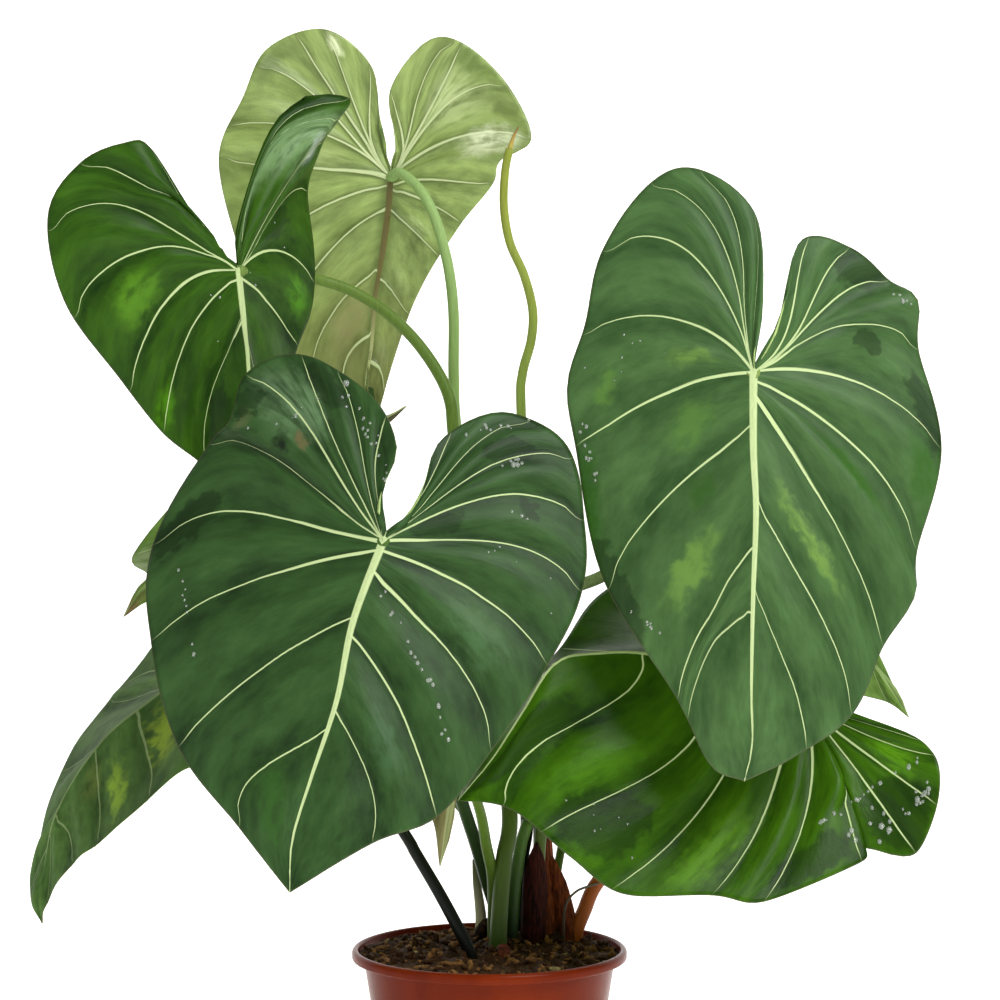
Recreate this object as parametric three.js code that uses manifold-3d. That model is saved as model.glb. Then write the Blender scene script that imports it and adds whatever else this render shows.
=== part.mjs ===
// Philodendron gloriosum growing in a plastic nursery pot.
//
// Millimetres, +Z up. The origin is the middle of the pot's flat base, on the ground.
// The front leaves face -Y. A place is written [right, back, up] from that origin.

import * as THREE from "three";
import { mergeVertices } from "three/addons/utils/BufferGeometryUtils.js";
import Module from "manifold-3d";

const wasm = await Module();
wasm.setup();

// ---------------------------------------------------------------- driving dimensions

const CLEARANCE = 0.3; // left between pieces that touch

const POT = {
  height: 148,
  rimRadius: 95,
  rimWidth: 8, // from the lip's outer edge to the wall
  lipHeight: 7,
  footRadius: 66,
  wall: 2.4,
  floor: 3,
  collarFoot: 102, // where the wider band below the rim begins
  collarStep: 1.8, // how much wider it is
  collarRise: 2, // over which height the wall steps out to it
  sides: 36,
  drainHoles: 8,
  drainRadius: 4.5,
  drainCircle: 46,
};

const SOIL = {
  edgeHeight: 141,
  mound: 7, // how much higher the middle is than the edge
  lump: 1.8,
  rings: 8,
  sides: 28,
};

const BLADE = {
  half: 0.45, // half of the blade's thickness
  midrib: 1.8, // the midrib's height under the blade, at the stalk
  rib: 0.9, // the side ribs' height, beside the midrib
  bossRadius: 5, // of the thick part where the stalk joins
  swell: 0.09, // how far the blade stands up between two ribs, as a part of their distance
  swellLimit: 2.8,
  bend: 0.2, // how far a side rib arches towards the stalk, as a part of its length
  archRamp: 3, // the margin places from the sinus over which the ribs come to that arch
  fanStep: THREE.MathUtils.degToRad(4), // the least turn between lines from the stalk
  widestStep: 0.15, // between lines that leave the midrib, as a part of the midrib
  columns: [0, 0.05, 0.28, 0.55, 0.8, 1], // from the midrib to the margin
  smallColumns: [0, 0.1, 0.5, 1],
  smallScale: 0.35, // how thick the ribs of a small blade are beside those of a large one
};

const SEAT = { depth: 1.8, radius: 14, height: 24 }; // cut off a stalk's end, under its blade

const STALK = { sides: 8, ringSpacing: 40, flare: 1.12 };

const COLOURS = {
  pot: 0xb24a1e,
  soil: 0x2b1d14,
  velvet: 0x35502f,
  glossy: 0x3f6b1d,
  pale: 0x9db667,
  young: 0x8ea653,
  dying: 0x8a7a4a,
  stalk: 0x4c5f2e,
  bareStalk: 0xa9b556,
  darkStalk: 0x1d2417,
  brownStalk: 0x7a4522,
  rhizome: 0x2c1c12,
  husk: 0x5b2c16,
  stub: 0x9a9a84,
  root: 0x4a463c,
};

// ---------------------------------------------------------------- the leaves

// Each blade has its midrib, from the stalk to the tip, the foot of its sinus, and its two
// margins, from the sinus to the tip, left and right as seen on its upper face. The fourth
// number of a margin place says that a side rib ends there, and where along the midrib it
// starts: 0 at the stalk, 1 at the tip. A place without it only shapes the margin.

const LEAVES = {
  leaf_front: {
    colour: COLOURS.velvet,
    midrib: [
      [-65, -165, 432], [-83, -179, 382], [-92, -193, 335],
      [-107, -204, 288], [-117, -215, 253], [-118, -222, 223],
    ],
    sinus: [-63, -165, 438],
    left: [
      [-65, -160, 462], [-57, -150, 490, 0], [-75, -128, 524, 0], [-121, -105, 551, 0],
      [-158, -96, 539, 0], [-166, -112, 508], [-181, -104, 493, 0], [-214, -126, 428, 0],
      [-210, -160, 369, 0.03], [-189, -188, 306, 0.24], [-150, -208, 260, 0.56],
    ],
    right: [
      [-45, -158, 455], [-30, -138, 495, 0], [10, -120, 513, 0], [50, -118, 492, 0],
      [61, -128, 444, 0], [59, -142, 399, 0], [37, -160, 354, 0.03], [2, -182, 303, 0.09],
      [-31, -200, 265, 0.28], [-69, -212, 251, 0.49],
    ],
  },
  leaf_right: {
    colour: COLOURS.velvet,
    midrib: [
      [170, -115, 539], [169, -124, 489], [170, -130, 451], [167, -140, 394],
      [165, -148, 338], [164, -152, 304], [155, -154, 281],
    ],
    sinus: [171, -115, 545],
    left: [
      [177, -108, 586], [173, -98, 643, 0], [138, -88, 673, 0], [106, -84, 665, 0],
      [74, -86, 620, 0], [63, -90, 573, 0], [51, -98, 532], [56, -105, 491, 0],
      [73, -118, 407, 0.14], [118, -138, 333, 0.43],
    ],
    right: [
      [186, -110, 574], [202, -100, 625, 0], [235, -92, 622, 0], [262, -86, 601, 0],
      [279, -94, 587], [281, -88, 555, 0], [294, -98, 490, 0], [276, -110, 424, 0.02],
      [272, -120, 394], [252, -122, 363, 0.05], [230, -136, 321, 0.31], [193, -146, 296, 0.55],
    ],
  },
  leaf_low_right: {
    colour: COLOURS.glossy,
    midrib: [
      [210, -55, 320], [161, -58, 342], [108, -64, 355], [73, -68, 356],
      [44, -76, 350], [22, -86, 318], [3, -94, 288], [-15, -98, 260],
    ],
    sinus: [220, -55, 325],
    left: [
      [241, -35, 329], [261, -5, 347, 0], [250, 30, 380, 0], [207, 50, 404, 0],
      [143, 58, 413, 0.06], [83, 50, 393, 0.2], [49, 20, 353, 0.4], [9, -30, 311, 0.65],
    ],
    right: [
      [240, -62, 316], [284, -82, 299, 0], [294, -94, 272, 0], [277, -100, 228, 0],
      [244, -92, 230], [242, -98, 222, 0], [177, -114, 199, 0], [143, -114, 203, 0.03],
      [87, -116, 204, 0.1], [54, -114, 226, 0.17], [29, -110, 247, 0.3], [9, -104, 259, 0.6],
    ],
  },
  leaf_high_left: {
    colour: COLOURS.glossy,
    midrib: [[-169, -35, 612], [-166, -33, 580], [-163, -30, 550], [-165, -22, 505], [-179, -12, 454]],
    sinus: [-171, -35, 617],
    left: [
      [-191, -40, 634], [-225, -52, 691, 0], [-243, -58, 695], [-273, -56, 682, 0],
      [-293, -64, 646, 0], [-283, -58, 589, 0], [-248, -45, 538, 0], [-221, -32, 502, 0.03],
      [-194, -20, 479, 0.17],
    ],
    right: [
      [-170, -28, 657], [-143, 8, 730], [-99, 30, 740, 0], [-117, 38, 712, 0],
      [-129, 42, 677, 0], [-124, 40, 611, 0], [-135, 30, 565, 0.03], [-156, 8, 506, 0.3],
    ],
  },
  leaf_top: {
    colour: COLOURS.pale,
    midrib: [
      [-73, 101, 694], [-75, 102, 670], [-79, 103, 641], [-85, 106, 604],
      [-88, 108, 568], [-92, 108, 538], [-83, 106, 517], [-61, 102, 526],
    ],
    sinus: [-73, 100, 702],
    left: [
      [-70, 98, 720], [-73, 92, 757, 0], [-47, 86, 791, 0], [-20, 80, 789, 0],
      [13, 88, 760, 0], [30, 78, 719, 0], [7, 90, 704], [2, 92, 688, 0.04],
      [-21, 98, 660, 0.07], [-48, 104, 619, 0.12], [-64, 108, 582, 0.36],
      [-78, 110, 537, 0.66], [-73, 106, 530],
    ],
    right: [
      [-82, 97, 728], [-86, 92, 773, 0], [-120, 86, 800, 0], [-162, 88, 787, 0],
      [-180, 84, 750, 0], [-198, 88, 706, 0], [-184, 94, 640, 0.04], [-163, 100, 582, 0.1],
      [-133, 106, 538, 0.3], [-105, 108, 512, 0.52], [-90, 107, 509], [-74, 104, 514],
    ],
  },
  leaf_low_left: {
    colour: COLOURS.velvet,
    midrib: [
      [-178, 0, 371], [-202, -8, 344], [-227, -14, 324], [-264, -20, 293],
      [-293, -28, 247], [-301, -34, 205], [-302, -38, 171],
    ],
    sinus: [-173, 2, 376],
    left: [
      [-179, 30, 388], [-206, 70, 403, 0], [-230, 95, 384, 0], [-246, 100, 351, 0.05],
      [-286, 85, 300, 0.2], [-306, 50, 262, 0.42], [-313, 5, 216, 0.62], [-313, -22, 189, 0.8],
    ],
    right: [
      [-154, -24, 372], [-135, -70, 338, 0], [-147, -95, 304, 0], [-170, -105, 289, 0],
      [-200, -108, 280, 0.05], [-243, -95, 242, 0.25], [-276, -70, 215, 0.5],
      [-296, -48, 187, 0.75],
    ],
  },
  leaf_small_middle: {
    colour: COLOURS.dying,
    small: true,
    midrib: [[-23, -125, 331], [-21, -127, 292], [-26, -128, 254], [-31, -128, 223]],
    sinus: [-23, -125, 336],
    left: [
      [-28, -123, 347], [-44, -120, 350, 0], [-55, -119, 329, 0], [-51, -122, 288, 0],
      [-35, -126, 251, 0.3],
    ],
    right: [
      [-16, -123, 346], [-3, -120, 342, 0], [0, -120, 320, 0], [-4, -122, 288, 0],
      [-18, -125, 258, 0.3],
    ],
  },
  leaf_small_right: {
    colour: COLOURS.young,
    small: true,
    midrib: [[212, -84, 397], [233, -88, 372], [255, -92, 345], [274, -92, 315]],
    sinus: [210, -84, 401],
    left: [
      [201, -83, 401], [194, -82, 384, 0], [204, -84, 355, 0], [231, -87, 334, 0.2],
      [260, -91, 325, 0.55],
    ],
    right: [
      [217, -83, 410], [237, -82, 410, 0], [248, -84, 390, 0], [251, -87, 366, 0.2],
      [263, -91, 338, 0.55],
    ],
  },
  leaf_small_left: {
    colour: COLOURS.young,
    small: true,
    midrib: [[-148, -75, 444], [-177, -80, 423], [-209, -84, 408], [-230, -84, 398], [-240, -82, 380]],
    sinus: [-143, -75, 448],
    left: [
      [-144, -73, 460], [-165, -70, 477, 0], [-197, -72, 465, 0], [-234, -78, 421, 0.2],
      [-231, -82, 410, 0.5], [-239, -83, 397],
    ],
    right: [
      [-131, -73, 441], [-135, -72, 417, 0], [-161, -74, 391, 0], [-193, -78, 382, 0.2],
      [-221, -82, 386, 0.55],
    ],
  },
};

// ---------------------------------------------------------------- the stalks

// Each leaf stalk runs from its foot in the rhizome or the soil to its blade.
const STALKS = {
  stalk_front: {
    leaf: "leaf_front", foot: 4.6, top: 3.4, colour: COLOURS.darkStalk,
    route: [
      [7, 24, 138], [7, 22, 152], [5, 18, 169], [-2, 12, 192], [-9, 5, 217], [-17, -5, 243],
      [-29, -25, 284], [-43, -60, 331], [-57, -100, 379], [-64, -140, 418], [-65, -165, 432],
    ],
  },
  stalk_right: {
    leaf: "leaf_right", foot: 4.6, top: 3.8, colour: COLOURS.stalk,
    route: [
      [39, 36, 137], [39, 36, 153], [36, 38, 195], [36, 44, 258], [37, 50, 322],
      [42, 44, 375], [58, 28, 394], [77, 16, 403], [115, 5, 423], [144, -15, 452],
      [165, -50, 497], [171, -92, 533], [170, -115, 539],
    ],
  },
  stalk_low_right: {
    leaf: "leaf_low_right", foot: 5.6, top: 3.6, colour: COLOURS.brownStalk,
    route: [
      [60, 36, 134], [61, 36, 151], [67, 36, 167], [76, 37, 186], [100, 36, 212],
      [134, 26, 232], [174, 5, 259], [201, -25, 297], [210, -55, 320],
    ],
  },
  stalk_high_left: {
    leaf: "leaf_high_left", foot: 5.2, top: 3.4, colour: COLOURS.stalk,
    route: [
      [6, -8, 130], [6, -8, 151], [7, -8, 171], [10, -6, 209], [14, -2, 242], [4, 12, 318],
      [-14, 30, 415], [-25, 42, 500], [-28, 46, 527], [-37, 51, 548], [-54, 57, 572],
      [-76, 62, 593], [-101, 63, 608], [-124, 57, 615], [-146, 32, 618], [-163, -8, 614],
      [-169, -35, 612],
    ],
  },
  stalk_top: {
    leaf: "leaf_top", foot: 4.8, top: 3.8, colour: COLOURS.stalk,
    route: [
      [17, 36, 138], [17, 36, 150], [19, 36, 163], [23, 40, 202], [26, 44, 237],
      [13, 52, 314], [-11, 60, 414], [-24, 65, 507], [-26, 66, 548], [-26, 66, 589],
      [-29, 67, 620], [-35, 69, 646], [-43, 73, 669], [-54, 80, 686], [-66, 90, 696],
      [-73, 101, 694],
    ],
  },
  stalk_low_left: {
    leaf: "leaf_low_left", foot: 4.3, top: 3.2, colour: COLOURS.darkStalk,
    route: [
      [-9, -20, 128], [-14, -20, 150], [-22, -22, 169], [-33, -26, 191], [-47, -30, 218],
      [-57, -30, 230], [-95, -16, 285], [-138, 4, 331], [-166, 8, 356], [-178, 0, 371],
    ],
  },
  stalk_small_middle: {
    leaf: "leaf_small_middle", foot: 3.8, top: 2.2, colour: COLOURS.stalk,
    route: [
      [3, 10, 130], [3, 8, 157], [3, 3, 177], [2, -4, 199], [-2, -14, 220], [-6, -30, 245],
      [-15, -60, 277], [-21, -100, 313], [-23, -125, 331],
    ],
  },
  stalk_small_right: {
    leaf: "leaf_small_right", foot: 3.2, top: 2.2, colour: COLOURS.stalk,
    route: [
      [52, 58, 137], [52, 59, 153], [52, 62, 170], [55, 68, 198], [62, 80, 240],
      [80, 96, 300], [105, 98, 380], [140, 75, 445], [185, 10, 450], [207, -52, 425],
      [212, -84, 397],
    ],
  },
  stalk_small_left: {
    leaf: "leaf_small_left", foot: 3, top: 2, colour: COLOURS.stalk,
    route: [
      [12, 48, 130], [11, 47, 152], [5, 43, 170], [-8, 37, 199], [-26, 30, 235],
      [-62, 15, 286], [-109, -20, 361], [-141, -55, 427], [-148, -75, 444],
    ],
  },
};

// A stalk that has lost its blade, drying to a thread at its end.
const BARE_STALK = {
  foot: 4.6,
  top: 3.6,
  colour: COLOURS.bareStalk,
  route: [
    [32, 22, 138], [32, 22, 159], [33, 22, 177], [35, 22, 212], [37, 22, 247],
    [35, 20, 317], [27, 16, 415], [22, 9, 520], [23, 8, 545], [29, 7, 568], [30, 6, 589],
    [24, 5, 613], [14, 4, 636], [10, 3, 661], [11, 1, 685], [14, 0, 700],
  ],
  thread: { route: [[14, 0, 697], [15, 0, 703], [17, 0, 709], [20, 1, 715]], foot: 1.9, top: 0.5 },
};

// ---------------------------------------------------------------- the crown

const RHIZOME = {
  radius: 12,
  knuckle: 1.3, // the swelling at each old leaf scar
  knuckles: 7,
  rings: 18,
  sides: 8,
  route: [[-16, -24, 134], [0, -4, 139], [13, 20, 142], [34, 30, 143], [58, 40, 138]],
};

// What is left of two older stalks.
const STUBS = {
  stub_cut: {
    foot: 4.9, top: 4.2, colour: COLOURS.stalk,
    route: [[18, 17, 136], [18, 18, 156], [20, 19, 185], [24, 20, 215], [28, 21, 232]],
  },
  stub_dry: {
    foot: 5.2, top: 2.2, colour: COLOURS.stub,
    route: [[-6, 32, 130], [-6, 32, 160], [-7, 31, 172], [-9, 30, 188], [-10, 29, 204]],
  },
};

const AERIAL_ROOT = {
  foot: 1, top: 0.8, colour: COLOURS.root,
  route: [[52, 24, 132], [52, 24, 160], [54, 25, 174], [61, 26, 182], [69, 28, 185], [77, 30, 187]],
};

// The papery sheaths that the stalks once grew out of: from foot to tip, how wide it is at its
// foot, the radius of its curl and the way its hollow side faces, in degrees from +X to +Y.
const HUSKS = {
  husk_tall: { foot: [44, 29, 134], tip: [39, 30, 222], width: 19, curl: 8, hollow: 122 },
  husk_right: { foot: [53, 31, 134], tip: [46, 30, 199], width: 16, curl: 9, hollow: 40 },
  husk_dark: { foot: [32, 13, 134], tip: [35, 13, 200], width: 22, curl: 8, hollow: 90 },
};
const HUSK = { half: 0.5, rows: 7, columns: 6 };

// ---------------------------------------------------------------- helpers

const vector = (place) => new THREE.Vector3(place[0], place[1], place[2]);
const curveThrough = (places) =>
  new THREE.CatmullRomCurve3(places.map(vector), false, "catmullrom", 0.5);

// A closed mesh as a manifold-3d solid, and back.
function solidFrom(geometry) {
  const bare = new THREE.BufferGeometry().setAttribute("position", geometry.getAttribute("position"));
  bare.setIndex(geometry.getIndex());
  const merged = mergeVertices(bare, 1e-4);
  return new wasm.Manifold(
    new wasm.Mesh({
      numProp: 3,
      vertProperties: merged.attributes.position.array,
      triVerts: new Uint32Array(merged.index.array),
    }),
  );
}

function geometryFrom(solid) {
  const mesh = solid.getMesh();
  const geometry = new THREE.BufferGeometry();
  geometry.setAttribute("position", new THREE.BufferAttribute(mesh.vertProperties, 3));
  geometry.setIndex(new THREE.BufferAttribute(mesh.triVerts, 1));
  return geometry;
}

const cutAll = (solid, cutters) => cutters.reduce((rest, cutter) => rest.subtract(cutter), solid);

// What is left of a solid after a cut, without the crumbs.
function largestPiece(solid) {
  return solid.decompose().sort((a, b) => b.volume() - a.volume())[0];
}

function indexedGeometry(points, faces) {
  const geometry = new THREE.BufferGeometry();
  const position = new Float32Array(points.flatMap((p) => [p.x, p.y, p.z]));
  geometry.setAttribute("position", new THREE.BufferAttribute(position, 3));
  geometry.setIndex(faces.flat());
  return geometry;
}

// The mean normal at each point of an open sheet.
function sheetNormals(points, faces) {
  const normals = points.map(() => new THREE.Vector3());
  for (const [a, b, c] of faces) {
    const ab = points[b].clone().sub(points[a]);
    const face = ab.cross(points[c].clone().sub(points[a]));
    for (const i of [a, b, c]) normals[i].add(face);
  }
  return normals.map((n) => n.normalize());
}

// Gives a sheet its thickness: a face above and a face below with the same triangles, and an
// edge all along the rim. above and below are distances from the sheet at each point.
function thicken({ points, faces, rim }, above, below) {
  const normals = sheetNormals(points, faces);
  const upper = points.map((p, i) => p.clone().addScaledVector(normals[i], above[i]));
  const lower = points.map((p, i) => p.clone().addScaledVector(normals[i], -below[i]));
  const n = points.length;
  const all = [...faces, ...faces.map(([a, b, c]) => [c + n, b + n, a + n])];
  for (let i = 0; i < rim.length; i++) {
    const a = rim[i];
    const b = rim[(i + 1) % rim.length];
    all.push([a, b, b + n], [a, b + n, a + n]);
  }
  return indexedGeometry([...upper, ...lower], all);
}

// ---------------------------------------------------------------- leaf blades

// One margin of a blade: its curve, where along the midrib the line to each of its places
// starts, and which places end a side rib.
function marginOf(leaf, side) {
  const rows = leaf[side];
  const places = [leaf.sinus, ...rows, leaf.midrib.at(-1)];
  const springs = [0, ...rows.map((row) => row[3]), 1];
  const known = springs.map((value, i) => (value === undefined ? -1 : i)).filter((i) => i >= 0);
  for (let k = 1; k < known.length; k++) {
    const [from, to] = [known[k - 1], known[k]];
    for (let i = from + 1; i < to; i++) {
      springs[i] = THREE.MathUtils.lerp(springs[from], springs[to], (i - from) / (to - from));
    }
  }
  const fan = springs.filter((value) => value === 0).length - 1;
  return { curve: curveThrough(places), springs, ribs: known, fan, last: places.length - 1 };
}

// Where along the midrib the line to a margin position starts, and the reverse.
function springAt({ springs, last }, along) {
  const i = Math.min(Math.floor(along), last - 1);
  return THREE.MathUtils.lerp(springs[i], springs[i + 1], along - i);
}

function alongAt({ springs, last }, spring) {
  let i = last - 1;
  while (springs[i] > spring) i--;
  return i + (spring - springs[i]) / (springs[i + 1] - springs[i]);
}

// The frame in which the lines spread round the stalk: on along the midrib, up from the
// blade's upper face and across to its right.
function stalkFrame(leaf) {
  const hub = vector(leaf.midrib[0]);
  const on = vector(leaf.midrib[1]).sub(hub).normalize();
  const up = new THREE.Vector3();
  const directions = (rows) => rows.slice(0, 6).map((row) => vector(row).sub(hub).normalize());
  for (const right of directions(leaf.right)) up.add(on.clone().cross(right));
  for (const left of directions(leaf.left)) up.add(left.cross(on));
  up.normalize();
  return { on, up, across: up.clone().cross(on) };
}

// From a line's start on the midrib to the point that it arches towards.
function archOffset(midrib, margin, along) {
  const spring = springAt(margin, along);
  const start = midrib.getPointAt(spring);
  const chord = margin.curve.getPoint(along / margin.last).sub(start);
  const reach = chord.length();
  if (reach < 1e-6) return chord;
  const outward = chord.clone().divideScalar(reach);
  const tangent = midrib.getTangentAt(spring);
  const arch = outward.multiplyScalar(tangent.dot(outward)).sub(tangent);
  const ramp = THREE.MathUtils.smoothstep(along, 0, BLADE.archRamp);
  return chord.multiplyScalar(0.5).addScaledVector(arch, BLADE.bend * ramp * reach);
}

// How far each line from the stalk is turned, so that it leaves a little after the one before
// it. There is one turn for every half interval of the margin.
function fanTurns(leaf, midrib, margin, way) {
  const { on, up, across } = stalkFrame(leaf);
  const turns = [0];
  let before = 2 * Math.PI;
  for (let half = 0; half / 2 <= margin.fan; half++) {
    const offset = archOffset(midrib, margin, half / 2);
    const angle = Math.atan2(way * offset.dot(across), offset.dot(on));
    const raw = angle < -Math.PI / 2 ? angle + 2 * Math.PI : angle;
    const allowed = Math.min(raw, before - BLADE.fanStep);
    turns[half] = allowed - raw;
    before = allowed;
  }
  return { turns, axis: up.multiplyScalar(way) };
}

function turnAt({ turns, fan }, along) {
  if (along >= fan) return turns.at(-1) * Math.max(0, 1 - (along - fan));
  const half = Math.floor(2 * along);
  return THREE.MathUtils.lerp(turns[half], turns[half + 1], 2 * along - half);
}

// A point on the line from the midrib to the margin, which arches towards the stalk.
function linePoint(midrib, margin, along, part) {
  const start = midrib.getPointAt(springAt(margin, along));
  const end = margin.curve.getPoint(along / margin.last);
  const offset = archOffset(midrib, margin, along);
  offset.applyAxisAngle(margin.axis, turnAt(margin, along));
  const control = start.clone().add(offset);
  return new THREE.QuadraticBezierCurve3(start, control, end).getPoint(part);
}

// The ribs on both sides of a margin position.
function ribsAround({ ribs }, along) {
  let k = 0;
  while (k < ribs.length - 2 && ribs[k + 1] <= along) k++;
  return [ribs[k], ribs[k + 1]];
}

// The margin positions of the lines that leave the stalk itself, two to each interval.
function fanPositions({ fan }) {
  return Array.from({ length: 2 * fan }, (_, i) => (i + 1) / 2);
}

// The places along the midrib from which lines leave to both sides.
function midribPositions(margins) {
  const springs = new Set(margins.flatMap((margin) => margin.springs).filter((f) => f > 0));
  const sorted = [0, ...[...springs].sort((a, b) => a - b)];
  const filled = [];
  for (let i = 1; i < sorted.length; i++) {
    const steps = Math.ceil((sorted[i] - sorted[i - 1]) / BLADE.widestStep);
    for (let k = 1; k <= steps; k++) {
      filled.push(THREE.MathUtils.lerp(sorted[i - 1], sorted[i], k / steps));
    }
  }
  return filled.slice(0, -1);
}

// The blade as a sheet: lines go round it from the sinus to the tip and back, each from the
// midrib to the margin. The lines nearest the stalk all start at one point.
function bladeSheet(leaf) {
  const midrib = curveThrough(leaf.midrib);
  const margins = ["right", "left"].map((side) => {
    const margin = marginOf(leaf, side);
    return { ...margin, ...fanTurns(leaf, midrib, margin, side === "right" ? 1 : -1) };
  });
  const columns = leaf.small ? BLADE.smallColumns : BLADE.columns;
  const size = leaf.small ? BLADE.smallScale : 1;
  const stalkEnd = midrib.getPointAt(0);
  const points = [];
  const swell = [];
  const under = [];
  const add = (point, up, down) => {
    const out = point.distanceTo(stalkEnd) / BLADE.bossRadius;
    const boss = BLADE.midrib * (1 - THREE.MathUtils.smoothstep(out, 1, 2));
    points.push(point);
    swell.push(up * size);
    under.push(Math.max(down, boss) * size);
    return points.length - 1;
  };
  const hub = add(stalkEnd, 0, BLADE.midrib);
  const onMidrib = midribPositions(margins);
  const starts = onMidrib.map((f) => add(midrib.getPointAt(f), 0, BLADE.midrib * (1 - 0.8 * f)));
  const line = (margin, along, start) => {
    const [rib, next] = ribsAround(margin, along);
    const between = (along - rib) / (next - rib);
    const isRib = between < 1e-6 && along > 0;
    return columns.map((part, column) => {
      if (column === 0) return start;
      const nearRib = linePoint(midrib, margin, rib, part);
      const gap = nearRib.distanceTo(linePoint(midrib, margin, next, part));
      const most = Math.min(BLADE.swell * gap, BLADE.swellLimit);
      const height = most * Math.sin(Math.PI * between) ** 2;
      const up = height * (Math.sin(Math.PI * part) + 0.3 * part ** 3);
      const down = isRib && column > 1 ? BLADE.rib * (1 - 0.8 * part) : 0;
      return add(linePoint(midrib, margin, along, part), up, down);
    });
  };
  const sinusLine = line(margins[0], 0, hub);
  const sides = margins.map((margin) => [
    ...fanPositions(margin).map((along) => line(margin, along, hub)),
    ...onMidrib.map((f, i) => line(margin, alongAt(margin, f), starts[i])),
  ]);
  const tip = add(midrib.getPointAt(1), 0, 0);
  const tipLine = columns.map(() => tip);
  const lines = [sinusLine, ...sides[0], tipLine, ...sides[1].reverse()];
  const faces = [];
  lines.forEach((here, i) => {
    const next = lines[(i + 1) % lines.length];
    for (let j = 0; j + 1 < columns.length; j++) {
      faces.push([here[j], next[j], next[j + 1]], [here[j], next[j + 1], here[j + 1]]);
    }
  });
  const whole = faces.filter(([a, b, c]) => a !== b && b !== c && c !== a);
  const normals = sheetNormals(points, whole);
  points.forEach((point, i) => point.addScaledVector(normals[i], swell[i]));
  return { points, faces: whole, rim: lines.map((indices) => indices.at(-1)), under };
}

function bladeGeometry(leaf, extra = 0) {
  const sheet = bladeSheet(leaf);
  const above = sheet.points.map(() => BLADE.half + extra);
  const below = sheet.under.map((depth) => BLADE.half + depth + extra);
  return thicken(sheet, above, below);
}

// ---------------------------------------------------------------- stalks, stubs and roots

// A tapered stem along a route, from its foot to its top, with flat ends.
function stemGeometry({ route, foot, top }, { extra = 0, sides = STALK.sides, swellAt, rings } = {}) {
  const curve = curveThrough(route);
  const count = rings ?? Math.max(4, Math.round(curve.getLength() / STALK.ringSpacing) + 3);
  const frames = curve.computeFrenetFrames(count);
  const points = [];
  for (let i = 0; i <= count; i++) {
    const t = i / count;
    const flared = foot * (t < 0.001 ? STALK.flare : 1);
    const radius = THREE.MathUtils.lerp(flared, top, t) + extra + (swellAt ? swellAt(t) : 0);
    const centre = curve.getPointAt(t);
    for (let k = 0; k < sides; k++) {
      const angle = (2 * Math.PI * k) / sides;
      const point = centre.clone();
      point.addScaledVector(frames.normals[i], radius * Math.cos(angle));
      point.addScaledVector(frames.binormals[i], radius * Math.sin(angle));
      points.push(point);
    }
  }
  const faces = [];
  for (let i = 0; i < count; i++) {
    for (let k = 0; k < sides; k++) {
      const a = i * sides + k;
      const b = i * sides + ((k + 1) % sides);
      faces.push([a, b, b + sides], [a, b + sides, a + sides]);
    }
  }
  const footCentre = points.push(curve.getPointAt(0)) - 1;
  const topCentre = points.push(curve.getPointAt(1)) - 1;
  for (let k = 0; k < sides; k++) {
    const next = (k + 1) % sides;
    faces.push([footCentre, next, k]);
    faces.push([topCentre, count * sides + k, count * sides + next]);
  }
  return indexedGeometry(points, faces);
}

// The knuckled creeping stem that the stalks stand in.
function rhizomeGeometry(extra = 0) {
  const { route, radius, knuckle, knuckles, rings, sides } = RHIZOME;
  const swellAt = (t) => {
    const ends = 1 - 0.45 * (2 * t - 1) ** 4;
    return radius * (ends - 1) + knuckle * Math.cos(2 * Math.PI * knuckles * t);
  };
  return stemGeometry({ route, foot: radius, top: radius }, { extra, sides, swellAt, rings });
}

// A papery sheath: a pointed strip, hollow on one side.
function huskGeometry({ foot, tip, width, curl, hollow }, extra = 0) {
  const [start, end] = [vector(foot), vector(tip)];
  start.z -= extra;
  const facing = THREE.MathUtils.degToRad(hollow);
  const inward = new THREE.Vector3(Math.cos(facing), Math.sin(facing), 0);
  const across = new THREE.Vector3(0, 0, 1).cross(inward);
  const points = [];
  const rows = [];
  for (let i = 0; i <= HUSK.rows; i++) {
    const t = i / HUSK.rows;
    const half = (width / 2) * (1 - t ** 3) + 0.6 + extra;
    const centre = start.clone().lerp(end, t).addScaledVector(inward, 1.5 * Math.sin(3 * t));
    rows.push(
      Array.from({ length: HUSK.columns + 1 }, (_, k) => {
        const angle = ((2 * k) / HUSK.columns - 1) * (half / curl);
        const point = centre.clone().addScaledVector(across, -curl * Math.sin(angle));
        point.addScaledVector(inward, curl * (1 - Math.cos(angle)));
        return points.push(point) - 1;
      }),
    );
  }
  const faces = [];
  for (let i = 0; i < HUSK.rows; i++) {
    for (let k = 0; k < HUSK.columns; k++) {
      const [a, b] = [rows[i][k], rows[i][k + 1]];
      const [c, d] = [rows[i + 1][k + 1], rows[i + 1][k]];
      faces.push([a, b, c], [a, c, d]);
    }
  }
  const rim = [
    ...rows[0].slice().reverse(),
    ...rows.slice(1, -1).map((row) => row[0]),
    ...rows.at(-1),
    ...rows.slice(1, -1).map((row) => row.at(-1)).reverse(),
  ];
  const half = points.map(() => HUSK.half + extra);
  return thicken({ points, faces, rim }, half, half);
}

// ---------------------------------------------------------------- pot and soil

// The wall's outer radius at a height, without the rim.
function potRadiusAt(height) {
  const top = POT.rimRadius - POT.rimWidth;
  const collar = POT.footRadius + ((top - POT.footRadius) * height) / POT.height;
  return height < POT.collarFoot ? collar - POT.collarStep : collar;
}

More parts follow.
